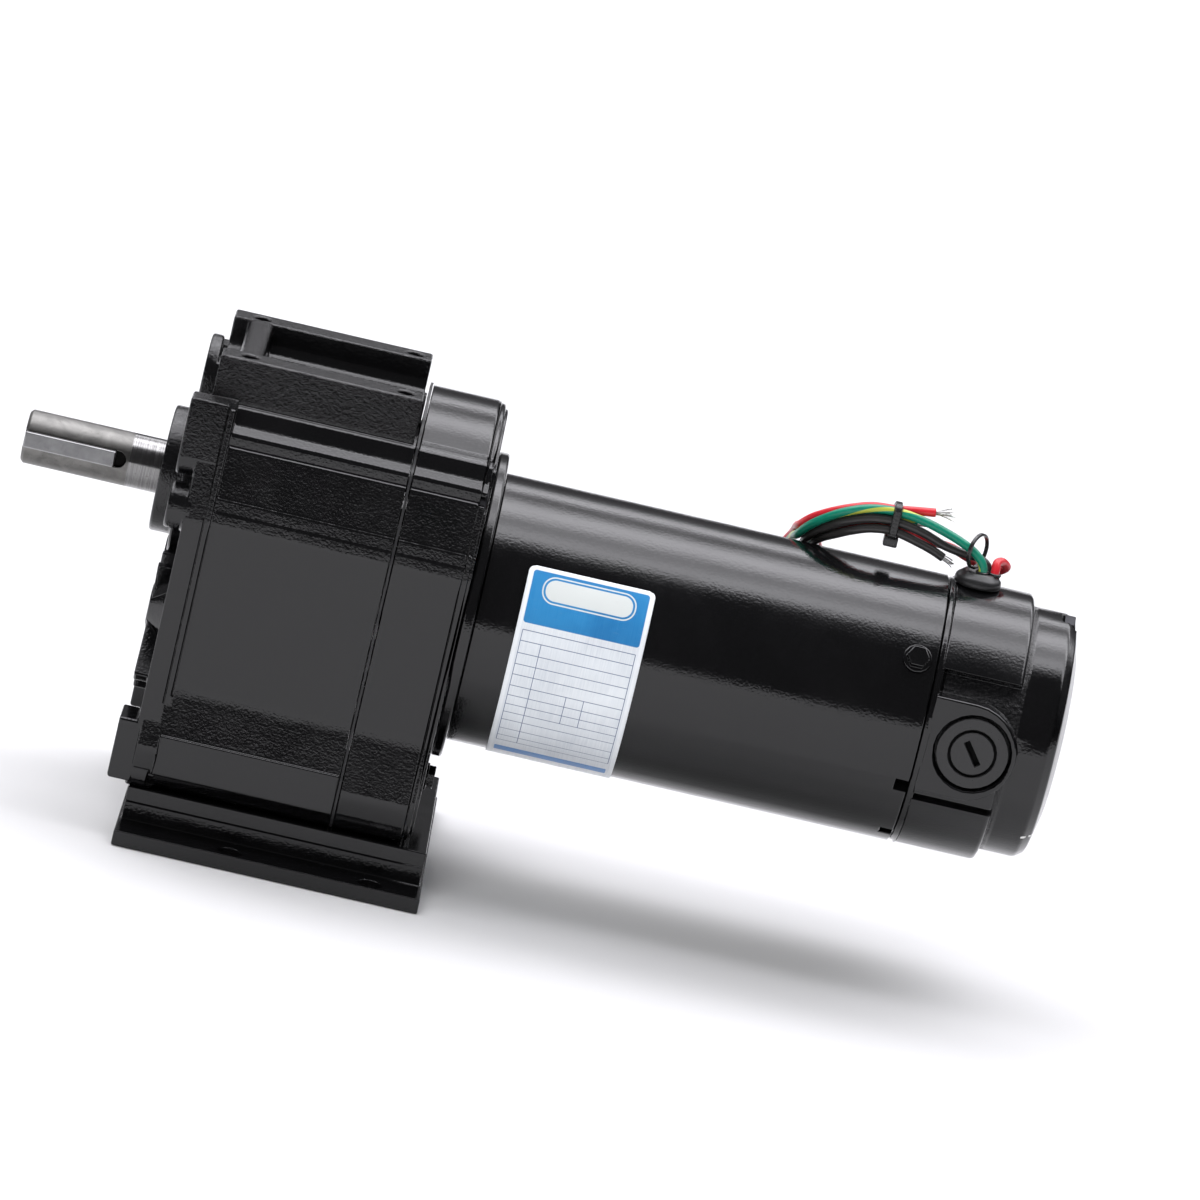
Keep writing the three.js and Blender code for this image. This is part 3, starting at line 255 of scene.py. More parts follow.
def case_cast(f):
    """Raw skin on the rails and on the front's upper half, and faintly in patches below the shoulders."""
    front = f.times(f.below(f.x, FRONT_FACE_X), f.times(f.above(f.z, FRONT_UPPER_Z, 0.0075), 0.4))
    outside = f.most(f.above(f.z, RAIL_TOP_Z), f.above(f.size(f.y), RAIL_OUTER_Y))
    rails = f.times(f.above(f.z, RAIL_FOOT_Z), outside)
    patches = f.remap(f.noise(f.at, 38, 3.0, 0.6), 0.46, 0.62)
    shoulders = f.times(patches, f.within(f.z, PATCHY_Z, 0.005))
    return f.most(f.most(front, rails), f.times(shoulders, 0.16))


def bell_cast(f):
    """Raw skin in the recesses round the brush holders."""
    radius = f.distance(f.y, f.minus(f.z, MOTOR_Z * MM))
    return f.times(f.below(radius, BELL_RECESS_R, 0.00025), f.within(f.x, BELL_RECESS_X))


def bell_chips(f):
    """Two small pale chips on the rear rim, low on the nameplate's side."""
    ragged = f.times(f.noise(f.at, 1800, 3.0, 0.7), 0.0009)
    level = f.within(f.total(f.z, ragged, (f.x, -0.25)), CHIPS_LEVEL, 0.0001)
    spots = f.most(*[f.within(f.x, limits, 0.0001) for limits in CHIPS_X])
    return f.times(f.below(f.y, CHIPS_Y, 0.0001), f.times(level, spots))


def metal(name, colour, rough, variation=0.12, brush=(1, 1, 1), grain=0.0000012, scale=2600):
    """Machined metal. brush stretches the grain: tool marks run along its small axis."""
    f = Finish(name, Metallic=1.0)
    stretched = f.scaled(f.at, *brush)
    lines = f.noise(stretched, scale, 3.0, 0.6)
    cloud = f.noise(f.at, 140, 3.0, 0.6)
    darker = tuple(c * (1 - variation * 2) for c in colour)
    stain = f.remap(f.noise(f.at, 420, 4.0, 0.65, 0.8), 0.55, 0.75)
    tone = f.mix(f.remap(cloud, 0.3, 0.7), darker, colour)
    tone = f.mix(f.times(stain, 0.35), tone, tuple(c * 0.55 for c in colour))
    f.set(Base_Color=tone, Roughness=f.total(rough - 0.06, (lines, 0.12), (stain, 0.1)))
    f.relief(f.total((lines, grain * 4), (cloud, grain)))
    return f.material


def shaft_steel():
    """The output shaft: dull with an oily film where the key sits, freshly ground next to the seal, with painted
    shade down in the keyseat.
    """
    f = Finish("output_shaft_steel", Metallic=1.0)
    rings = f.noise(f.scaled(f.at, 1, 0.02, 0.02), 5200, 2.0, 0.5)
    film = f.noise(f.scaled(f.at, 0.7, 1, 1), 180, 4.0, 0.62, 0.6)
    ground = f.above(f.x, GROUND_X, 0.0002)
    dull = f.mix(f.remap(film, 0.35, 0.68), (0.13, 0.128, 0.122), (0.225, 0.22, 0.21))
    bright = f.mix(f.remap(rings, 0.35, 0.65), (0.16, 0.158, 0.157), (0.27, 0.267, 0.265))
    specks = f.remap(f.noise(f.at, 1900, 2.0, 0.5), 0.66, 0.74)
    tone = f.mix(ground, dull, bright)
    tone = f.mix(f.times(specks, 0.5), tone, (0.07, 0.058, 0.046))
    # Painted shade: down in the keyseat the steel is coloured near black.
    radius = f.distance(f.y, f.minus(f.z, OUTPUT_Z * MM))
    painted_keyseat_shade = f.times(f.below(radius, KEYSEAT_R, 0.00015), f.within(f.x, KEYSEAT_X, 0.0001))
    tone = f.mix(painted_keyseat_shade, tone, (0.012, 0.0115, 0.011))
    rough = f.blend(ground, f.total(0.34, (film, 0.16)), f.total(0.13, (rings, 0.16)))
    f.set(Base_Color=tone, Roughness=rough)
    f.relief(f.total((rings, 0.0000035), (film, 0.000008)))
    return f.material


def plastic(name, colour, rough, grain=0.000006, scale=900, light=None):
    """Moulded or extruded plastic or rubber with a fine skin and a little dust."""
    f = Finish(name)
    light = light or tuple(min(1.0, c * 1.35 + 0.01) for c in colour)
    skin_noise = f.noise(f.at, scale, 3.0, 0.55)
    cloud = f.remap(f.noise(f.at, 120, 3.0, 0.6), 0.35, 0.7)
    dust = f.remap(f.noise(f.at, 2100, 3.0, 0.65), 0.6, 0.76)
    tone = f.mix(f.times(cloud, 0.5), colour, light)
    tone = f.mix(f.times(dust, 0.12), tone, (0.35, 0.34, 0.33))
    f.set(Base_Color=tone, Roughness=f.total(rough - 0.05, (skin_noise, 0.1), (dust, 0.12)))
    f.relief(f.times(skin_noise, grain))
    return f.material


def cap_plastic():
    """The brush caps: matt black, with painted shade down in the slot and the groove."""
    f = Finish("brush_cap_plastic", IOR=1.5)
    grain = f.noise(f.at, 1300, 3.0, 0.55)
    radius = f.distance(f.minus(f.x, CAP_X), f.minus(f.z, MOTOR_Z * MM))
    # Painted shade: the slot and the groove are coloured near black and made fully rough.
    painted_recess_shade = f.times(f.below(f.size(f.y), CAP_FACE_Y, 0.000125), f.below(radius, CAP_SLOT_R, 0.00015))
    tone = f.mix(f.remap(grain, 0.35, 0.7), (0.008, 0.008, 0.0085), (0.014, 0.0138, 0.014))
    f.set(Base_Color=f.mix(painted_recess_shade, tone, (0.001, 0.001, 0.001)),
          Roughness=f.blend(painted_recess_shade, f.total(0.18, (grain, 0.12)), 1.0))
    f.relief(f.times(grain, 0.000006))
    return f.material


def striped(name, colour, stripe):
    """Lead insulation with a stripe along it. The tube's UV runs round it and along it."""
    f = Finish(name, IOR=1.48)
    uv = f.add("UVMap", {"uv_map": "UVMap"}).outputs[0]
    split = f.add("SeparateXYZ", None, i0=uv).outputs
    twist = f.math("FRACT", f.total(split[0], (split[1], 2.2)))
    edge = f.size(f.minus(twist, 0.5))
    mask = f.remap(edge, 0.085, 0.07, smooth=True)
    mottled = f.noise(f.at, 700, 3.0, 0.6)
    tone = f.mix(f.remap(mottled, 0.3, 0.75), colour, tuple(c * 1.25 + 0.004 for c in colour))
    f.set(Base_Color=f.mix(mask, tone, stripe), Roughness=f.total(0.26, (mottled, 0.14)))
    f.relief(f.times(mottled, 0.000008))
    return f.material


PLATE = {"x": (54.2, 91.3), "r": TUBE_R + 0.6, "up": (36.5, -76.0)}
# The print's fields: millimetres from the plate's edge, degrees above the horizontal, and the corner radius.
PRINTED = (1.3, 35.8, 34.9, -68.5, 1.2)
HEADER = (1.5, 35.6, 34.6, 12.3, 0.9)
PANEL_RIM = (4.9, 32.4, 33.3, 21.6, 3.8)
PANEL_LINE = (5.3, 32.0, 32.7, 22.2, 3.4)
PANEL = (5.9, 31.4, 31.9, 23.0, 2.9)
FOOT_BAR = (2.0, 35.1, -55.0, -61.0, 0.4)
# The empty table below: its sides, the height of each rule in degrees above the horizontal, and its columns,
# each with its place and its first and last rule.
TABLE_X = (2.0, 35.1)
RULES = [9.3, 4.7, -0.5, -5.3, -10.0, -15.2, -20.0, -24.6, -29.0, -33.6, -39.4, -44.6, -48.9]
COLUMNS = [(2.0, 0, 12), (8.1, 1, 12), (18.6, 5, 8), (23.8, 5, 8), (35.1, 0, 12)]
RULE_DEGREES, RULE_WIDTH = 0.15, 0.1  # half of each line's thickness
PRINT_SOFT = 0.05  # millimetres that an edge of the print fades over, on either side


def plate_print():
    """The nameplate's print: a blue header with a blank cream panel, and an empty table below it."""
    f = Finish("nameplate_print", IOR=1.5, Coat_Weight=0.35, Coat_Roughness=0.12)
    uv = f.add("UVMap", {"uv_map": "UVMap"}).outputs[0]
    split = f.add("SeparateXYZ", None, i0=uv).outputs
    across = f.minus(split[0], PLATE["x"][0])  # millimetres from the plate's edge
    arc = split[1]  # millimetres of arc above the horizontal

    def rect(x0, x1, a0, a1, radius=0.0):
        s0, s1 = (math.radians(a) * PLATE["r"] for a in (a0, a1))
        dx = f.minus(f.size(f.minus(across, (x0 + x1) / 2)), abs(x1 - x0) / 2 - radius)
        ds = f.minus(f.size(f.minus(arc, (s0 + s1) / 2)), abs(s1 - s0) / 2 - radius)
        if radius:
            return f.below(f.distance(f.most(dx, 0.0), f.most(ds, 0.0)), radius, PRINT_SOFT)
        return f.below(f.most(dx, ds), 0.0, PRINT_SOFT)

    fleck = f.noise(f.at, 1600, 3.0, 0.6)
    cloud = f.noise(f.at, 60, 3.0, 0.6, 0.5)
    lines = f.add("CombineXYZ", None, X=across, Y=f.times(arc, 0.035)).outputs[0]
    brushed = f.remap(f.noise(lines, 2.6, 4.0, 0.65), 0.3, 0.7)
    silver = f.mix(f.remap(cloud, 0.3, 0.7), (0.56, 0.6, 0.65), (0.72, 0.76, 0.8))
    silver = f.mix(f.times(brushed, 0.5), silver, (0.86, 0.88, 0.9))
    tone = f.mix(rect(*PRINTED), f.mix(0.5, silver, (0.86, 0.88, 0.9)), silver)
    blue = f.mix(f.remap(cloud, 0.3, 0.7), (0.013, 0.155, 0.39), (0.025, 0.225, 0.5))
    blue = f.mix(f.times(brushed, 0.16), blue, (0.1, 0.32, 0.56))
    cream = (0.62, 0.65, 0.64)
    for field, paint in ((HEADER, blue), (PANEL_RIM, cream), (PANEL_LINE, blue), (PANEL, cream)):
        tone = f.mix(rect(*field), tone, paint)
    ink = (0.045, 0.09, 0.2)
    for angle in RULES:
        tone = f.mix(rect(*TABLE_X, angle + RULE_DEGREES, angle - RULE_DEGREES), tone, ink)
    for x, top, bottom in COLUMNS:
        tone = f.mix(rect(x - RULE_WIDTH, x + RULE_WIDTH, RULES[top], RULES[bottom]), tone, ink)
    tone = f.mix(rect(*FOOT_BAR), tone, (0.03, 0.2, 0.52))
    scuff = f.remap(f.noise(f.scaled(f.at, 0.25, 1, 1), 900, 4.0, 0.7), 0.62, 0.75)
    tone = f.mix(f.times(scuff, 0.12), tone, (0.4, 0.41, 0.42))
    f.set(Base_Color=tone, Roughness=f.total(0.3, (fleck, 0.12), (scuff, 0.15)))
    f.relief(f.total((fleck, 0.000004), (brushed, 0.000006), (cloud, 0.00004)))
    return f.material


SHEET = 0.0005  # metres


def laminated():
    """Stacked steel sheets: a fine line at each sheet along the core."""
    f = Finish("core_laminations", Metallic=1.0)
    wave = f.math("SINE", f.times(f.x, FULL_TURN / SHEET))
    tone = f.mix(f.remap(wave, -1, 1), (0.09, 0.09, 0.095), (0.24, 0.24, 0.25))
    f.set(Base_Color=tone, Roughness=f.total(0.45, (f.noise(f.at, 800), 0.15)))
    f.relief(f.times(wave, 0.00001))
    return f.material


BLACK_PAINT = enamel("black_enamel")
CASE_PAINT = enamel("black_enamel_case", case_cast)
BELL_PAINT = enamel("black_enamel_bell", bell_cast, bell_chips)
CAP_PLASTIC = cap_plastic()
TURNED = (1, 0.05, 0.05)
MATERIALS = {
    "black_enamel": BLACK_PAINT,
    "ground_steel": shaft_steel(),
    "key_steel": metal("key_steel", (0.42, 0.42, 0.425), 0.36, 0.15, (0.08, 1, 1)),
    "gear_steel": metal("gear_steel", (0.5, 0.49, 0.475), 0.36, 0.12, TURNED),
    "oxide_steel": metal("oxide_steel", (0.035, 0.035, 0.038), 0.4, 0.2),
    "bearing_steel": metal("bearing_steel", (0.62, 0.62, 0.63), 0.2, 0.06, TURNED),
    "bronze": metal("sintered_bronze", (0.45, 0.27, 0.13), 0.42, 0.15, scale=1500, grain=0.000004),
    "brass": metal("brass", (0.66, 0.48, 0.2), 0.3, 0.1),
    "copper": metal("winding_copper", (0.58, 0.24, 0.1), 0.34, 0.2, (1, 0.15, 0.15), 0.00001, 1400),
    "commutator_copper": metal("commutator_copper", (0.64, 0.34, 0.2), 0.3, 0.15, TURNED),
    "laminations": laminated(),
    "magnet": plastic("ferrite", (0.035, 0.035, 0.038), 0.6, 0.00002, 700),
    "spring_steel": metal("spring_steel", (0.6, 0.6, 0.61), 0.24),
    "carbon": plastic("brush_carbon", (0.03, 0.03, 0.032), 0.55, 0.00001, 1500),
    "black_plastic": plastic("moulded_black", (0.009, 0.009, 0.01), 0.25, 0.000004, 1300),
    "nameplate": plate_print(),
    "gasket": plastic("case_sealant", (0.012, 0.012, 0.013), 0.5, 0.00003, 500),
    "seal_rubber": plastic("seal_rubber", (0.022, 0.02, 0.018), 0.5, 0.00001, 900),
    "grommet_rubber": plastic("grommet_rubber", (0.01, 0.01, 0.0105), 0.34, 0.00001, 700),
    "black_insulation": plastic("black_insulation", (0.022, 0.021, 0.021), 0.32, 0.00001, 700,
                                (0.035, 0.033, 0.032)),
    "green_insulation": striped("green_insulation", (0.001, 0.17, 0.105), (0.42, 0.46, 0.06)),
    "red_insulation": plastic("red_insulation", (0.52, 0.012, 0.022), 0.34, 0.00001, 700, (0.66, 0.04, 0.05)),
    "tie_nylon": plastic("tie_nylon", (0.011, 0.011, 0.011), 0.26, 0.000006, 1100),
    "tinned_wire": metal("tinned_wire", (0.7, 0.695, 0.67), 0.3, 0.2, (1, 1, 1), 0.00001, 3000),
}
SLOT_OF = {part["node"]: part["material_slot"] for part in frame["record"]["subparts"]}
for node, obj in frame["nodes"].items():
    obj.data.materials.clear()
    obj.data.materials.append(MATERIALS[SLOT_OF[node]])


# ---- Building pieces ----
WELD = 2e-6  # metres between corners that are one
FLAT = math.radians(0.7)  # triangles this close to one plane are one face
SHARP, SHALLOW = 32, 5  # degrees: the least angle that is rounded, at most edges and on the case's flanks


def flat_faced(node):
    """The node's solid, with its triangles joined into flat faces."""
    bm = bmesh.new()
    bm.from_mesh(frame["nodes"][node].data)
    bmesh.ops.remove_doubles(bm, verts=bm.verts, dist=WELD)
    bmesh.ops.dissolve_limit(bm, angle_limit=FLAT, verts=bm.verts, edges=bm.edges)
    return bm


def spoke(side, up, angle):
    """The direction at an angle from side towards up."""
    return side * math.cos(angle) + up * math.sin(angle)


def body_of_node(node):
    return next(body for body, nodes in frame["record"]["behaviour"]["bodies"].items() if node in nodes)


def finish_mesh(bm, name, node, smooth, material=None):
    """Makes the piece that stands for a CAD node: it rides on the node's body and has its slot."""
    slot = SLOT_OF[node]
    bmesh.ops.recalc_face_normals(bm, faces=bm.faces)
    mesh = bpy.data.meshes.new(name)
    bm.to_mesh(mesh)
    bm.free()
    mesh.shade_smooth()
    mesh.set_sharp_from_angle(angle=math.radians(smooth))
    mesh.materials.append(material or MATERIALS[slot])
    obj = bpy.data.objects.new(name, mesh)
    collection.objects.link(obj)
    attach(obj, body_of_node(node))
    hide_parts(node)
    return obj


def skin(node, width, segments=2, material=None, limit=SHARP, reach=0.42, radius_of=None):
    """The node's own solid with its sharp edges rounded, to width in millimetres.

    limit is the least angle that is rounded, in degrees, or a function that gives it for an edge. radius_of
    gives an edge's radius where it differs from width, the largest. An edge beside shorter ones is rounded
    to at most reach times the shortest of them."""
    bm = flat_faced(node)
    weight = bm.edges.layers.float.new("bevel_weight_edge")
    for edge in bm.edges:
        least = limit(edge) if callable(limit) else limit
        if len(edge.link_faces) != 2 or edge.calc_face_angle(0) <= math.radians(least):
            continue
        beside_it = [e.calc_length() for v in edge.verts for e in v.link_edges if e is not edge]
        radius = radius_of(edge) if radius_of else width
        edge[weight] = min(radius / width, reach * min(beside_it) / (width * MM))
    obj = finish_mesh(bm, node + "_skin", node, 40, material)
    bevel = obj.modifiers.new("edges", "BEVEL")
    bevel.width, bevel.segments = width * MM, segments
    bevel.limit_method = "WEIGHT"
    bevel.use_clamp_overlap = False
    bevel.miter_outer = "MITER_SHARP"
    even = obj.modifiers.new("normals", "WEIGHTED_NORMAL")
    even.keep_sharp = True
    even.weight = 60  # over 50, the larger faces count for more
    return obj


# Metres in the CAD's frame: where the flanks of the case lie, the two faces of the joint between its halves,
# and the bridge between the rails.
FLANK_X, FLANK_Y, FLANK_Z = -0.0455, 0.03, (0.0275, 0.1312)
JOINT_X = (0.0146, 0.0159)
BRIDGE_X, BRIDGE_Y, BRIDGE_Z = (-0.041, -0.0328), 0.0213, 0.142
# Millimetres.
JOINT_EDGE, CASE_EDGE, BRIDGE_EDGE = 0.25, 0.8, 1.9


def flank_limit(edge):
    """The case's long side facets are rounded at shallow edges too; round bosses and corners aren't."""
    a, b = (v.co for v in edge.verts)
    along = abs(a.x - b.x) > 0.95 * (a - b).length
    on_flank = abs(a.y) > FLANK_Y and FLANK_Z[0] < a.z < FLANK_Z[1] and min(a.x, b.x) > FLANK_X
    return SHALLOW if along and on_flank else SHARP


def case_radius(edge):
    """Sharp at the joint between the halves, round over the bridge between the rails."""
    ends = a, b = [v.co for v in edge.verts]
    if all(min(abs(at.x - x) for x in JOINT_X) < 0.0002 for at in ends):
        return JOINT_EDGE
    bridge = all(BRIDGE_X[0] < at.x < BRIDGE_X[1] and abs(at.y) < BRIDGE_Y and at.z > BRIDGE_Z for at in ends)
    return BRIDGE_EDGE if bridge and abs(a.x - b.x) < 0.0001 else CASE_EDGE


UV_PER_METRE = 10


def sweep(bm, path, radius, sides, uv=None):
    """A round tube with closed ends along a list of points. Its UV runs round it and along it."""
    tangents = []
    for i in range(len(path)):
        a, b = path[max(0, i - 1)], path[min(len(path) - 1, i + 1)]
        tangents.append((b - a).normalized())
    side = tangents[0].orthogonal().normalized()
    rings, along, lengths = [], 0.0, []
    for i, point in enumerate(path):
        if i:
            along += (point - path[i - 1]).length
            side = (side - tangents[i] * side.dot(tangents[i])).normalized()
        up = tangents[i].cross(side)
        angles = [FULL_TURN * k / sides for k in range(sides)]
        rings.append([bm.verts.new(point + spoke(side, up, angle) * radius) for angle in angles])
        lengths.append(along)
    for i in range(len(rings) - 1):
        for k in range(sides):
            n = (k + 1) % sides
            face = bm.faces.new((rings[i][k], rings[i][n], rings[i + 1][n], rings[i + 1][k]))
            if uv:
                corners = ((k, i), (k + 1, i), (k + 1, i + 1), (k, i + 1))
                for loop, (a, b) in zip(face.loops, corners):
                    loop[uv].uv = (a / sides, lengths[b] * UV_PER_METRE)
    bm.faces.new(list(reversed(rings[0])))
    bm.faces.new(rings[-1])


def lathe(bm, profile, centre, axis, sides):
    """Turns a profile of (distance along axis, radius) in millimetres about an axis through centre."""
    axis = Vector(axis).normalized()
    side = axis.orthogonal().normalized()
    up = axis.cross(side)
    rings = []
    for along, r in profile:
        middle = Vector(centre) * MM + axis * along * MM
        if r < 1e-6:
            rings.append([bm.verts.new(middle)])
            continue
        angles = [FULL_TURN * k / sides for k in range(sides)]
        rings.append([bm.verts.new(middle + spoke(side, up, angle) * r * MM) for angle in angles])
    for a, b in zip(rings, rings[1:]):
        for k in range(sides):
            n = (k + 1) % sides
            corners = [a[k % len(a)], a[n % len(a)], b[n % len(b)], b[k % len(b)]]
            unique = list(dict.fromkeys(corners))
            if len(unique) > 2:
                bm.faces.new(unique)


# ---- Leads ----
# The routes repeat part.mjs's points, with one more inside the grommet, in millimetres: x, y and height over the
# motor's axis. In a loop, which lies on the tube, a point is x, radius and degrees from the top. A lane is a
# lead's row and column in the bundle.
LEAD_R = 1.3
PITCH = 2.95  # from lead to lead, side by side
TUBE_LAY_R = 42.88  # from the motor's axis to the middle of the bundle
BUNDLE = [
    (155, 0, 53), (148.2, 0.2, 52.3), (142.3, 1.7, 49.9), (137.8, 5, 46.9), (134.2, 9.7, 43.6),
    (132, TUBE_LAY_R * math.sin(math.radians(20)), TUBE_LAY_R * math.cos(math.radians(20))),
]
UNDER, MIDDLE, OVER = (TUBE_LAY_R + step * PITCH / 2 for step in (-1, 1, 3))
LEADS = {
    "black": dict(
        out=[(184.3, 1.1, 42.5), (184.3, 1.1, 45.3), (183, 1.1, 46.6), (180.3, 1.1, 47.5),
             (176.5, 0.4, 47.9), (170.5, -1, 49.2), (163.5, -1.45, 51.6)],
        out_lane=(0, -1),
        loop=[(131.6, UNDER, 33), (130.4, UNDER, 42), (128.6, UNDER, 50), (127.9, UNDER, 56),
              (129.2, UNDER, 61.5), (133, UNDER, 63.6), (136.8, UNDER, 61.5), (138.1, UNDER, 56),
              (137.5, UNDER, 50), (136, UNDER, 42), (135.2, UNDER, 33)],
        end_lane=(-1, -1),
        end=[(163, -1.45, 48.4), (167.5, -1.45, 47.1), (171, -1.45, 45.7)],
    ),
    "green": dict(
        out=[(183, -1.9, 42.5), (183, -1.9, 45.3), (181.9, -1.9, 47.3), (179.4, -1.8, 49.4),
             (175.8, -1.7, 51.2), (170, -1.5, 53.2), (163, -1.45, 55)],
        out_lane=(1, -1),
        loop=[(128.7, (UNDER + MIDDLE) / 2, 31), (128.3, MIDDLE, 40), (126.8, MIDDLE, 49),
              (126, MIDDLE, 57), (126.3, MIDDLE, 63), (128.2, MIDDLE, 68.3), (132, MIDDLE, 69.7),
              (135.8, MIDDLE, 68.3), (137.6, MIDDLE, 62), (137, MIDDLE, 53), (134.5, MIDDLE, 43),
              (132.6, MIDDLE, 30)],
        end_lane=(0, 1),
        end=[(158.5, 1.5, 53.2), (161.5, 1.5, 53.4)],
    ),
    "red": dict(
        out=[(186.8, -0.9, 42.5), (186.8, -0.4, 45.3), (186.8, 0.9, 47), (188.3, 3.7, 47.2),
             (190.2, 6.8, 45.2), (188.4, 9.2, 43.2), (183.4, 9.4, 43.4), (178, 6, 45.8),
             (172.5, 2.8, 48.2), (163, 1.55, 49.1)],
        out_lane=(-1, 1),
        loop=[(135.2, (MIDDLE + OVER) / 2, 31), (135.8, OVER, 42), (137.5, OVER, 50), (139.6, OVER, 58),
              (140, OVER, 66), (137.7, OVER, 74.9), (132, OVER, 77.7), (126.3, OVER, 74.9),
              (124, OVER, 66), (124.6, OVER, 58), (126.8, OVER, 50), (128.6, OVER, 42),
              (128.9, (MIDDLE + OVER) / 2, 31)],
        end_lane=(1, 1),
        end=[(160.5, 1.45, 56.8), (166, 1.4, 57.6)],
    ),
}


def lane(row, column):
    """The bundle's stretch of one lead."""
    points = []
    for i, at in enumerate(BUNDLE):
        before, after = Vector(BUNDLE[max(0, i - 1)]), Vector(BUNDLE[min(len(BUNDLE) - 1, i + 1)])
        along = Vector((-1, 0, 0)) if i == 0 else (after - before).normalized()
        share = i / (len(BUNDLE) - 1)
        up = Vector((-share, 0, 1 - share))
        up = (up - along * up.dot(along)).normalized()
        across = along.cross(up)
        points.append(Vector(at) + up * row * PITCH + across * column * PITCH / 2)
    return points


def beside(x, r, degrees):
    """A point that lies on the tube."""
    angle = math.radians(degrees)
    return Vector((x, r * math.sin(angle), r * math.cos(angle)))


def smooth_path(points, steps):
    """Centripetal Catmull-Rom curve through the points."""
    result = []
    for i in range(len(points) - 1):
        p1, p2 = points[i], points[i + 1]
        p0 = points[i - 1] if i else p1 * 2 - p2
        p3 = points[i + 2] if i + 2 < len(points) else p2 * 2 - p1
        t0, t1, t2 = ((b - a).length ** 0.5 for a, b in ((p0, p1), (p1, p2), (p2, p3)))
        m1 = ((p1 - p0) / t0 - (p2 - p0) / (t0 + t1) + (p2 - p1) / t1) * t1
        m2 = ((p2 - p1) / t1 - (p3 - p1) / (t1 + t2) + (p3 - p2) / t2) * t1
        for k in range(steps):
            t = k / steps
            a, b = 2 * t ** 3 - 3 * t ** 2 + 1, t ** 3 - 2 * t ** 2 + t
            result.append(p1 * a + m1 * b + p2 * (3 * t ** 2 - 2 * t ** 3) + m2 * (t ** 3 - t ** 2))
    result.append(points[-1])
    return result


def lead_path(name):
    """The lead's route in metres: out of the grommet, along the bundle, round the loop and back."""
    lead = LEADS[name]
    away = [Vector(p) for p in lead["out"]] + lane(*lead["out_lane"]) + [beside(*p) for p in lead["loop"]]
    points = away + list(reversed(lane(*lead["end_lane"]))) + [Vector(p) for p in lead["end"]]
    return [(p + Vector((0, 0, MOTOR_Z))) * MM for p in smooth_path(points, 8)]


STRANDS, STRAND_STEPS, STRAND_SIDES = 11, 8, 6
STRAND_R, STRAND_BURIED, STRAND_OUT, STRAND_CURL = 0.00016, 0.0006, 0.00085, 0.0003  # metres
FIRST_SEED = 11
# How far each lead's strands splay, and how long they are, in metres.
BARE_ENDS = {"black": (0.0005, 0.0042), "green": (0.0002, 0.0034), "red": (0.0026, 0.0068)}


def strand_fan(name, tip, along, spread, length, seed):
    """The bare end: fine tinned wires that splay out of the insulation."""
    dice = random.Random(seed)
    bm = bmesh.new()
    side = along.orthogonal().normalized()
    up = along.cross(side)
    for i in range(STRANDS):
        turn = FULL_TURN * i / STRANDS + dice.uniform(-0.3, 0.3)
        out = spoke(side, up, turn) * (0.25 if i % 3 == 0 else 0.75)
        reach = length * dice.uniform(0.7, 1.0)
        splay = spread * dice.uniform(0.4, 1.0)
        curl = (side * dice.uniform(-1, 1) + up * dice.uniform(-1, 1)) * STRAND_CURL
        path = []
        for k in range(STRAND_STEPS + 1):
            t = k / STRAND_STEPS
            straight = tip - along * STRAND_BURIED + along * (reach * t)
            path.append(straight + out * (STRAND_OUT + splay * t ** 1.7) + curl * math.sin(3 * t))
        sweep(bm, path, STRAND_R, STRAND_SIDES)
    return finish_mesh(bm, name, name.replace("_wires", "_strands"), 60)


def make_leads():
    for i, name in enumerate(LEADS):
        path = lead_path(name)
        bm = bmesh.new()
        uv = bm.loops.layers.uv.new("UVMap")
        sweep(bm, path, LEAD_R * MM, 16, uv)
        lead = finish_mesh(bm, f"lead_{name}_insulation", f"lead_{name}", 50)
        tip, along = path[-1], (path[-1] - path[-2]).normalized()
        wires = strand_fan(f"lead_{name}_wires", tip, along, *BARE_ENDS[name], FIRST_SEED + i)


make_leads()


# ---- Cable ties and grommet ----
# A strap's cross-section: shares of its thickness and of its width.
STRAP = ((0, -0.5), (0.35, -0.5), (1, -0.36), (1, 0.36), (0.35, 0.5), (0, 0.5))


def band(bm, outline, thickness, width, axes, centre):
    """A strap bent round a closed outline of (a, b) points; axes are the a, b and width directions."""
    a_dir, b_dir, w_dir = axes
    rounds = []
    count = len(outline)
    for i, (a, b) in enumerate(outline):
        before, after = outline[i - 1], outline[(i + 1) % count]
        tangent = Vector((after[0] - before[0], after[1] - before[1])).normalized()
        normal = Vector((tangent.y, -tangent.x))
        ring = []
        for out, wide in STRAP:
            p = Vector((a, b)) + normal * out * thickness
            ring.append(bm.verts.new((centre + a_dir * p.x + b_dir * p.y + w_dir * wide * width) * MM))
        rounds.append(ring)
    for i in range(count):
        one, two = rounds[i], rounds[(i + 1) % count]
        for k in range(len(STRAP)):
            n = (k + 1) % len(STRAP)
            bm.faces.new((one[k], one[n], two[n], two[k]))


def rounded_outline(half_a, half_b, r, steps=6):
    """A rectangle with rounded corners, as points."""
    points = []
    for quarter, (a, b) in enumerate(((1, 1), (-1, 1), (-1, -1), (1, -1))):
        for k in range(steps + 1):
            angle = math.radians(90 * quarter + 90 * k / steps)
            points.append((a * (half_a - r) + r * math.cos(angle), b * (half_b - r) + r * math.sin(angle)))
    return points


def rounded_box(bm, low, high, r):
    """A box with its edges rounded by r, corners in millimetres."""
    made = bmesh.ops.create_cube(bm, size=1.0)["verts"]
    middle, size = (Vector(low) + Vector(high)) / 2, Vector(high) - Vector(low)
    for v in made:
        v.co = Vector((v.co.x * size.x, v.co.y * size.y, v.co.z * size.z)) * MM + middle * MM
    edges = list({e for v in made for e in v.link_edges})
    bmesh.ops.bevel(bm, geom=edges, offset=r * MM, segments=3, profile=0.5, affect="EDGES")


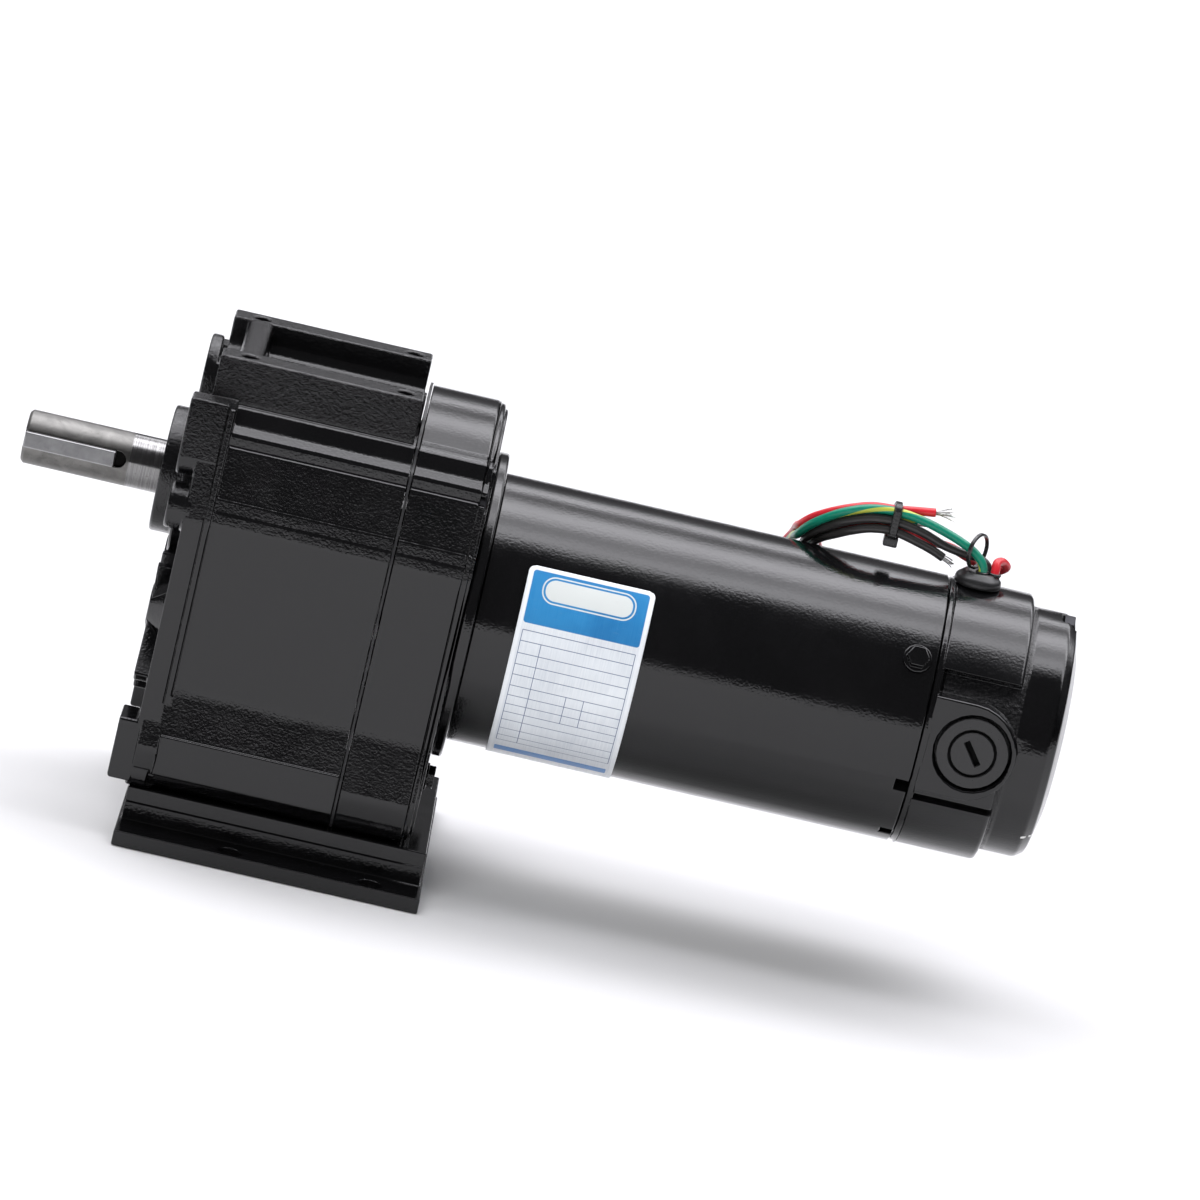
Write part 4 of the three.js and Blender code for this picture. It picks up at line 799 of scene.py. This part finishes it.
# Millimetres.
TIE_AT, TIE_THICKNESS, TIE_WIDTH, TIE_CORNER = Vector((155, 0, MOTOR_Z + 53)), 1.0, 2.5, 1.5
TEETH, TOOTH_PITCH, TOOTH_HEIGHT, TOOTH_HALF = 7, 1.15, 0.5, 1.05
RING_AT, RING_SIDES = Vector((180.4, 0, MOTOR_Z + 49.6)), 40
RING_R, RING_THICKNESS, RING_WIDTH = 4.8, 0.6, 1.2
RING_TURN = math.radians(-32)


def make_bundle_tie():
    """The strap with its head and cut tail under the bundle, and its teeth on the near side."""
    bm = bmesh.new()
    half_y, half_z = PITCH / 2 + LEAD_R + 0.1, PITCH + LEAD_R + 0.12
    axes = (Vector((0, 1, 0)), Vector((0, 0, 1)), Vector((1, 0, 0)))
    band(bm, rounded_outline(half_y, half_z, TIE_CORNER), TIE_THICKNESS, TIE_WIDTH, axes, TIE_AT)
    under = TIE_AT - Vector((0, 0, half_z))
    head = ((-2.1, -2.2, -3.3), (2.1, 2.2, -0.2), 0.5)
    tail = ((-1.1, 1.6, -2.6), (1.1, 3.4, -1.4), 0.25)
    for low, high, r in (head, tail):
        rounded_box(bm, under + Vector(low), under + Vector(high), r)
    near = TIE_AT - Vector((0, half_y, 4))
    for k in range(TEETH):
        low = near + Vector((-TOOTH_HALF, -1.12, k * TOOTH_PITCH))
        rounded_box(bm, low, near + Vector((TOOTH_HALF, -0.85, k * TOOTH_PITCH + TOOTH_HEIGHT)), 0.1)
    finish_mesh(bm, "bundle_tie", "cable_tie_1", 45)


def make_grommet_tie():
    """A plain ring round the leads where they leave the grommet."""
    bm = bmesh.new()
    width_dir = Vector((math.cos(RING_TURN), math.sin(RING_TURN), 0))
    across = Vector((-math.sin(RING_TURN), math.cos(RING_TURN), 0))
    angles = [FULL_TURN * k / RING_SIDES for k in range(RING_SIDES)]
    circle = [(RING_R * math.cos(angle), RING_R * math.sin(angle)) for angle in angles]
    band(bm, circle, RING_THICKNESS, RING_WIDTH, (across, Vector((0, 0, 1)), width_dir), RING_AT)
    finish_mesh(bm, "grommet_tie", "cable_tie_2", 45)


# Profiles of the grommet and of its collar round each lead: height over the motor's axis, and radius.
GROMMET = [
    (36.0, 0), (36.0, 3.6), (36.4, 3.9), (39.7, 3.9), (39.75, 6.3), (39.95, 6.75), (40.4, 6.9), (41.3, 6.9),
    (42.0, 6.7), (42.6, 6.2), (43.2, 5.4), (43.7, 4.9), (43.95, 4.5), (44.0, 4.0), (43.85, 3.6), (43.4, 3.3),
    (43.0, 0),
]
COLLAR = [(42.8, 1.45), (44.0, 1.95), (44.35, 1.9), (44.5, 1.6), (44.35, 1.38), (42.8, 1.35), (42.8, 1.45)]
GROMMET_X = 182.5


def make_grommet():
    bm = bmesh.new()
    lathe(bm, GROMMET, (GROMMET_X, 0, MOTOR_Z), (0, 0, 1), 48)
    for lead in LEADS.values():
        x, y, _ = lead["out"][1]
        lathe(bm, COLLAR, (x, y, MOTOR_Z), (0, 0, 1), 24)
    finish_mesh(bm, "grommet_boot", "lead_grommet", 50)


make_bundle_tie()
make_grommet_tie()
make_grommet()


# ---- Nameplate ----
PLATE_CORNER, PLATE_ROLL, PLATE_THICKNESS = 2.0, 0.12, 0.28  # millimetres
PLATE_COLUMNS, PLATE_ROWS = 40, 120
ROW_EASE = 0.35  # how far the rows crowd towards the rounded corners


def make_nameplate():
    """A thin printed plate bent round the tube, with rounded corners and a rolled edge."""
    r, corner, columns, rows = PLATE["r"], PLATE_CORNER, PLATE_COLUMNS, PLATE_ROWS
    x0, x1 = PLATE["x"]
    top, bottom = (math.radians(a) * r for a in PLATE["up"])
    bm = bmesh.new()
    uv = bm.loops.layers.uv.new("UVMap")
    stops = []
    for k in range(rows + 1):
        t = k / rows
        eased = t * t * (3 - 2 * t) * ROW_EASE + t * (1 - ROW_EASE)
        stops.append(top + (bottom - top) * eased)

    def inset(s):
        gap = min(top - s, s - bottom)
        return corner - math.sqrt(max(0.0, corner ** 2 - (corner - gap) ** 2)) if gap < corner else 0.0

    def point(x, s, radius):
        angle = s / r
        return bm.verts.new(Vector((x, -radius * math.cos(angle), MOTOR_Z + radius * math.sin(angle))) * MM)

    grids = []
    for radius, pull in ((r, PLATE_ROLL), (r - PLATE_ROLL, 0.0), (r - PLATE_THICKNESS, 0.0)):
        grid = []
        for s in stops:
            edge = inset(s) + pull
            s_in = min(top - pull, max(bottom + pull, s))
            places = [x0 + edge + (x1 - x0 - 2 * edge) * c / columns for c in range(columns + 1)]
            grid.append([point(x, s_in, radius) for x in places])
        grids.append(grid)
    where = {}
    for grid in grids:
        for s, row in zip(stops, grid):
            for v in row:
                where[v] = (v.co.x / MM, s)

    def add(*verts):
        face = bm.faces.new(verts)
        for loop in face.loops:
            loop[uv].uv = where[loop.vert]

    front, rim, back = grids
    for i in range(rows):
        for c in range(columns):
            add(front[i][c], front[i][c + 1], front[i + 1][c + 1], front[i + 1][c])
            add(back[i][c], back[i + 1][c], back[i + 1][c + 1], back[i][c + 1])
    for a, b in ((front, rim), (rim, back)):
        for i in range(rows):
            for c in (0, columns):
                add(a[i][c], a[i + 1][c], b[i + 1][c], b[i][c])
        for c in range(columns):
            for i in (0, rows):
                add(a[i][c], a[i][c + 1], b[i][c + 1], b[i][c])
    finish_mesh(bm, "nameplate_printed", "nameplate", 50)


make_nameplate()


# ---- Castings, tube and shaft ----
skin("gear_case_front", BRIDGE_EDGE, 3, CASE_PAINT, limit=flank_limit, radius_of=case_radius)
skin("gear_case_rear", BRIDGE_EDGE, 3, limit=flank_limit, radius_of=case_radius)
skin("mounting_base", 0.45, 3, limit=20, reach=0.3)
skin("motor_front_bell", 0.35, 2)
skin("motor_tube", 0.3, 2)
skin("rear_end_bell", 0.6, 3, BELL_PAINT, limit=24)
skin("output_shaft", 0.25, 2, limit=40)
skin("output_key", 0.35, 3)
skin("ground_screw", 0.25, 2)
for number in (1, 2):
    skin(f"brush_cap_{number}", 0.18, 2, CAP_PLASTIC)
    skin(f"through_bolt_{number}", 0.25, 2)
for number in range(1, 6):
    skin(f"case_screw_{number}", 0.2, 2)
for number in range(1, 5):
    skin(f"base_screw_{number}", 0.2, 2)


# How the rim's edges are split: into how many more pieces, down to which length in metres.
RIM_CUTS = ((3, 0.016), (3, 0.008), (2, 0.004), (1, 0.0014))
# Metres, with heights over the motor's axis: the rim lies outside RIM_SIDE_Y down to RIM_LOWEST, and above
# ARCH_LOWEST it lies outside ARCH_R round the output shaft.
RIM_SIDE_Y, RIM_LOWEST, ARCH_LOWEST, ARCH_R = 0.0445, -0.05, 0.036, 0.0375


def on_rim(at):
    """Whether a point of the sealant lies on its outer rim."""
    up = at.z - MOTOR_Z * MM
    from_output = math.hypot(at.y, at.z - OUTPUT_Z * MM)
    return (abs(at.y) > RIM_SIDE_Y and up > RIM_LOWEST) or (up > ARCH_LOWEST and from_output > ARCH_R)


def make_sealant():
    """Sealant squeezed out of the joint between the two halves of the case, with a ragged rim."""
    bm = flat_faced("case_gasket")
    for cuts, shortest in RIM_CUTS:
        rim = [e for e in bm.edges if on_rim(e.verts[0].co) and on_rim(e.verts[1].co)]
        long_edges = [e for e in rim if e.calc_length() > shortest]
        bmesh.ops.subdivide_edges(bm, edges=long_edges, cuts=cuts, use_grid_fill=False)
    for v in bm.verts:
        if on_rim(v.co):
            out = Vector((0, v.co.y, v.co.z - MOTOR_Z * MM)).normalized()
            ripple = noise.noise(v.co * 420) * 0.35
            blob = max(0.0, noise.noise(v.co * 150 + Vector((3, 1, 7))) - 0.2) * 1.5
            sideways = noise.noise(v.co * 600) * 0.2
            v.co += out * (ripple + blob) * MM + Vector((sideways * MM, 0, 0))
    finish_mesh(bm, "case_sealant", "case_gasket", 50)


make_sealant()


# ---- Floor and light ----
FLOOR_SIZE, FLOOR_GAP = 9.0, 0.0002


def make_floor():
    bm = bmesh.new()
    bmesh.ops.create_grid(bm, x_segments=8, y_segments=8, size=FLOOR_SIZE)
    mesh = bpy.data.meshes.new("floor")
    bm.to_mesh(mesh)
    bm.free()
    floor = bpy.data.objects.new("floor", mesh)
    floor.location.z = -FLOOR_GAP
    collection.objects.link(floor)
    f = Finish("floor_pale")
    grain = f.noise(f.at, 40, 2.0)
    f.set(Base_Color=f.mix(grain, (0.56, 0.56, 0.56), (0.58, 0.58, 0.58)), Roughness=0.7)
    mesh.materials.append(f.material)


# The studio seen in a cross-section: place from the horizon in front (0) over the top (0.5) to the horizon
# behind (1), and brightness. Three strip lights hang in a dark room.
STUDIO = (
    (0.0, 0.012), (0.385, 0.012), (0.415, 0.12), (0.445, 0.75), (0.475, 0.88), (0.51, 0.62), (0.545, 0.48),
    (0.575, 0.78), (0.605, 1.0), (0.635, 1.0), (0.665, 0.75), (0.695, 0.36), (0.72, 0.13), (0.755, 0.25),
    (0.795, 0.6), (0.825, 0.28), (0.86, 0.05), (0.92, 0.015), (1.0, 0.02),
)
STUDIO_STRENGTH = 6.5
STRIP_ENDS = (0.6, 0.85)  # where the strips fade out, as the x of a direction
BACKDROP = (0.97, 0.97, 0.975, 1.0)
FILL_AT, FILL_TARGET, FILL_SIZE, FILL_WATTS = (-0.5, -1.7, 1.15), Vector((0.08, 0, 0.08)), 1.2, 26.0


def make_studio():
    """Soft strip lights overhead and behind in a dark room, a pale backdrop and a fill lamp."""
    world = bpy.data.worlds.new("studio")
    world.use_nodes = True
    bpy.context.scene.world = world
    n = Nodes(world.node_tree)
    direction = n.add("TexCoord").outputs["Generated"]
    split = n.add("SeparateXYZ", None, i0=direction).outputs
    turn = n.math("ARCTAN2", split[2], n.times(split[1], -1.0))
    ramp = n.add("ValToRGB", None, i0=n.math("DIVIDE", turn, math.pi))
    colours = ramp.color_ramp.elements
    while len(colours) < len(STUDIO):
        colours.new(0.5)
    for element, (place, level) in zip(colours, STUDIO):
        element.position = place
        element.color = (level * 0.96, level * 0.955, level, 1.0)
    ends = n.remap(n.size(split[0]), *STRIP_ENDS, 1.0, 0.03, smooth=True)
    background = world.node_tree.nodes["Background"]
    pale = n.add("Background", None, Color=BACKDROP, Strength=1.0)
    n.give(background.inputs["Color"], ramp.outputs[0])
    n.give(background.inputs["Strength"], n.times(ends, STUDIO_STRENGTH))
    seen = n.add("LightPath").outputs["Is Camera Ray"]
    both = n.add("MixShader", None, i0=seen, i1=background.outputs[0], i2=pale.outputs[0])
    n.give(world.node_tree.nodes["World Output"].inputs["Surface"], both.outputs[0])

    fill = bpy.data.lights.new("front_fill", "AREA")
    fill.shape, fill.size, fill.energy = "DISK", FILL_SIZE, FILL_WATTS
    lamp = bpy.data.objects.new("front_fill", fill)
    lamp.location = FILL_AT
    lamp.rotation_mode = "QUATERNION"
    lamp.rotation_quaternion = (FILL_TARGET - lamp.location).to_track_quat("-Z", "Y")
    lamp.visible_glossy = False
    collection.objects.link(lamp)


make_floor()
make_studio()
bpy.context.scene.view_settings.view_transform = "Standard"
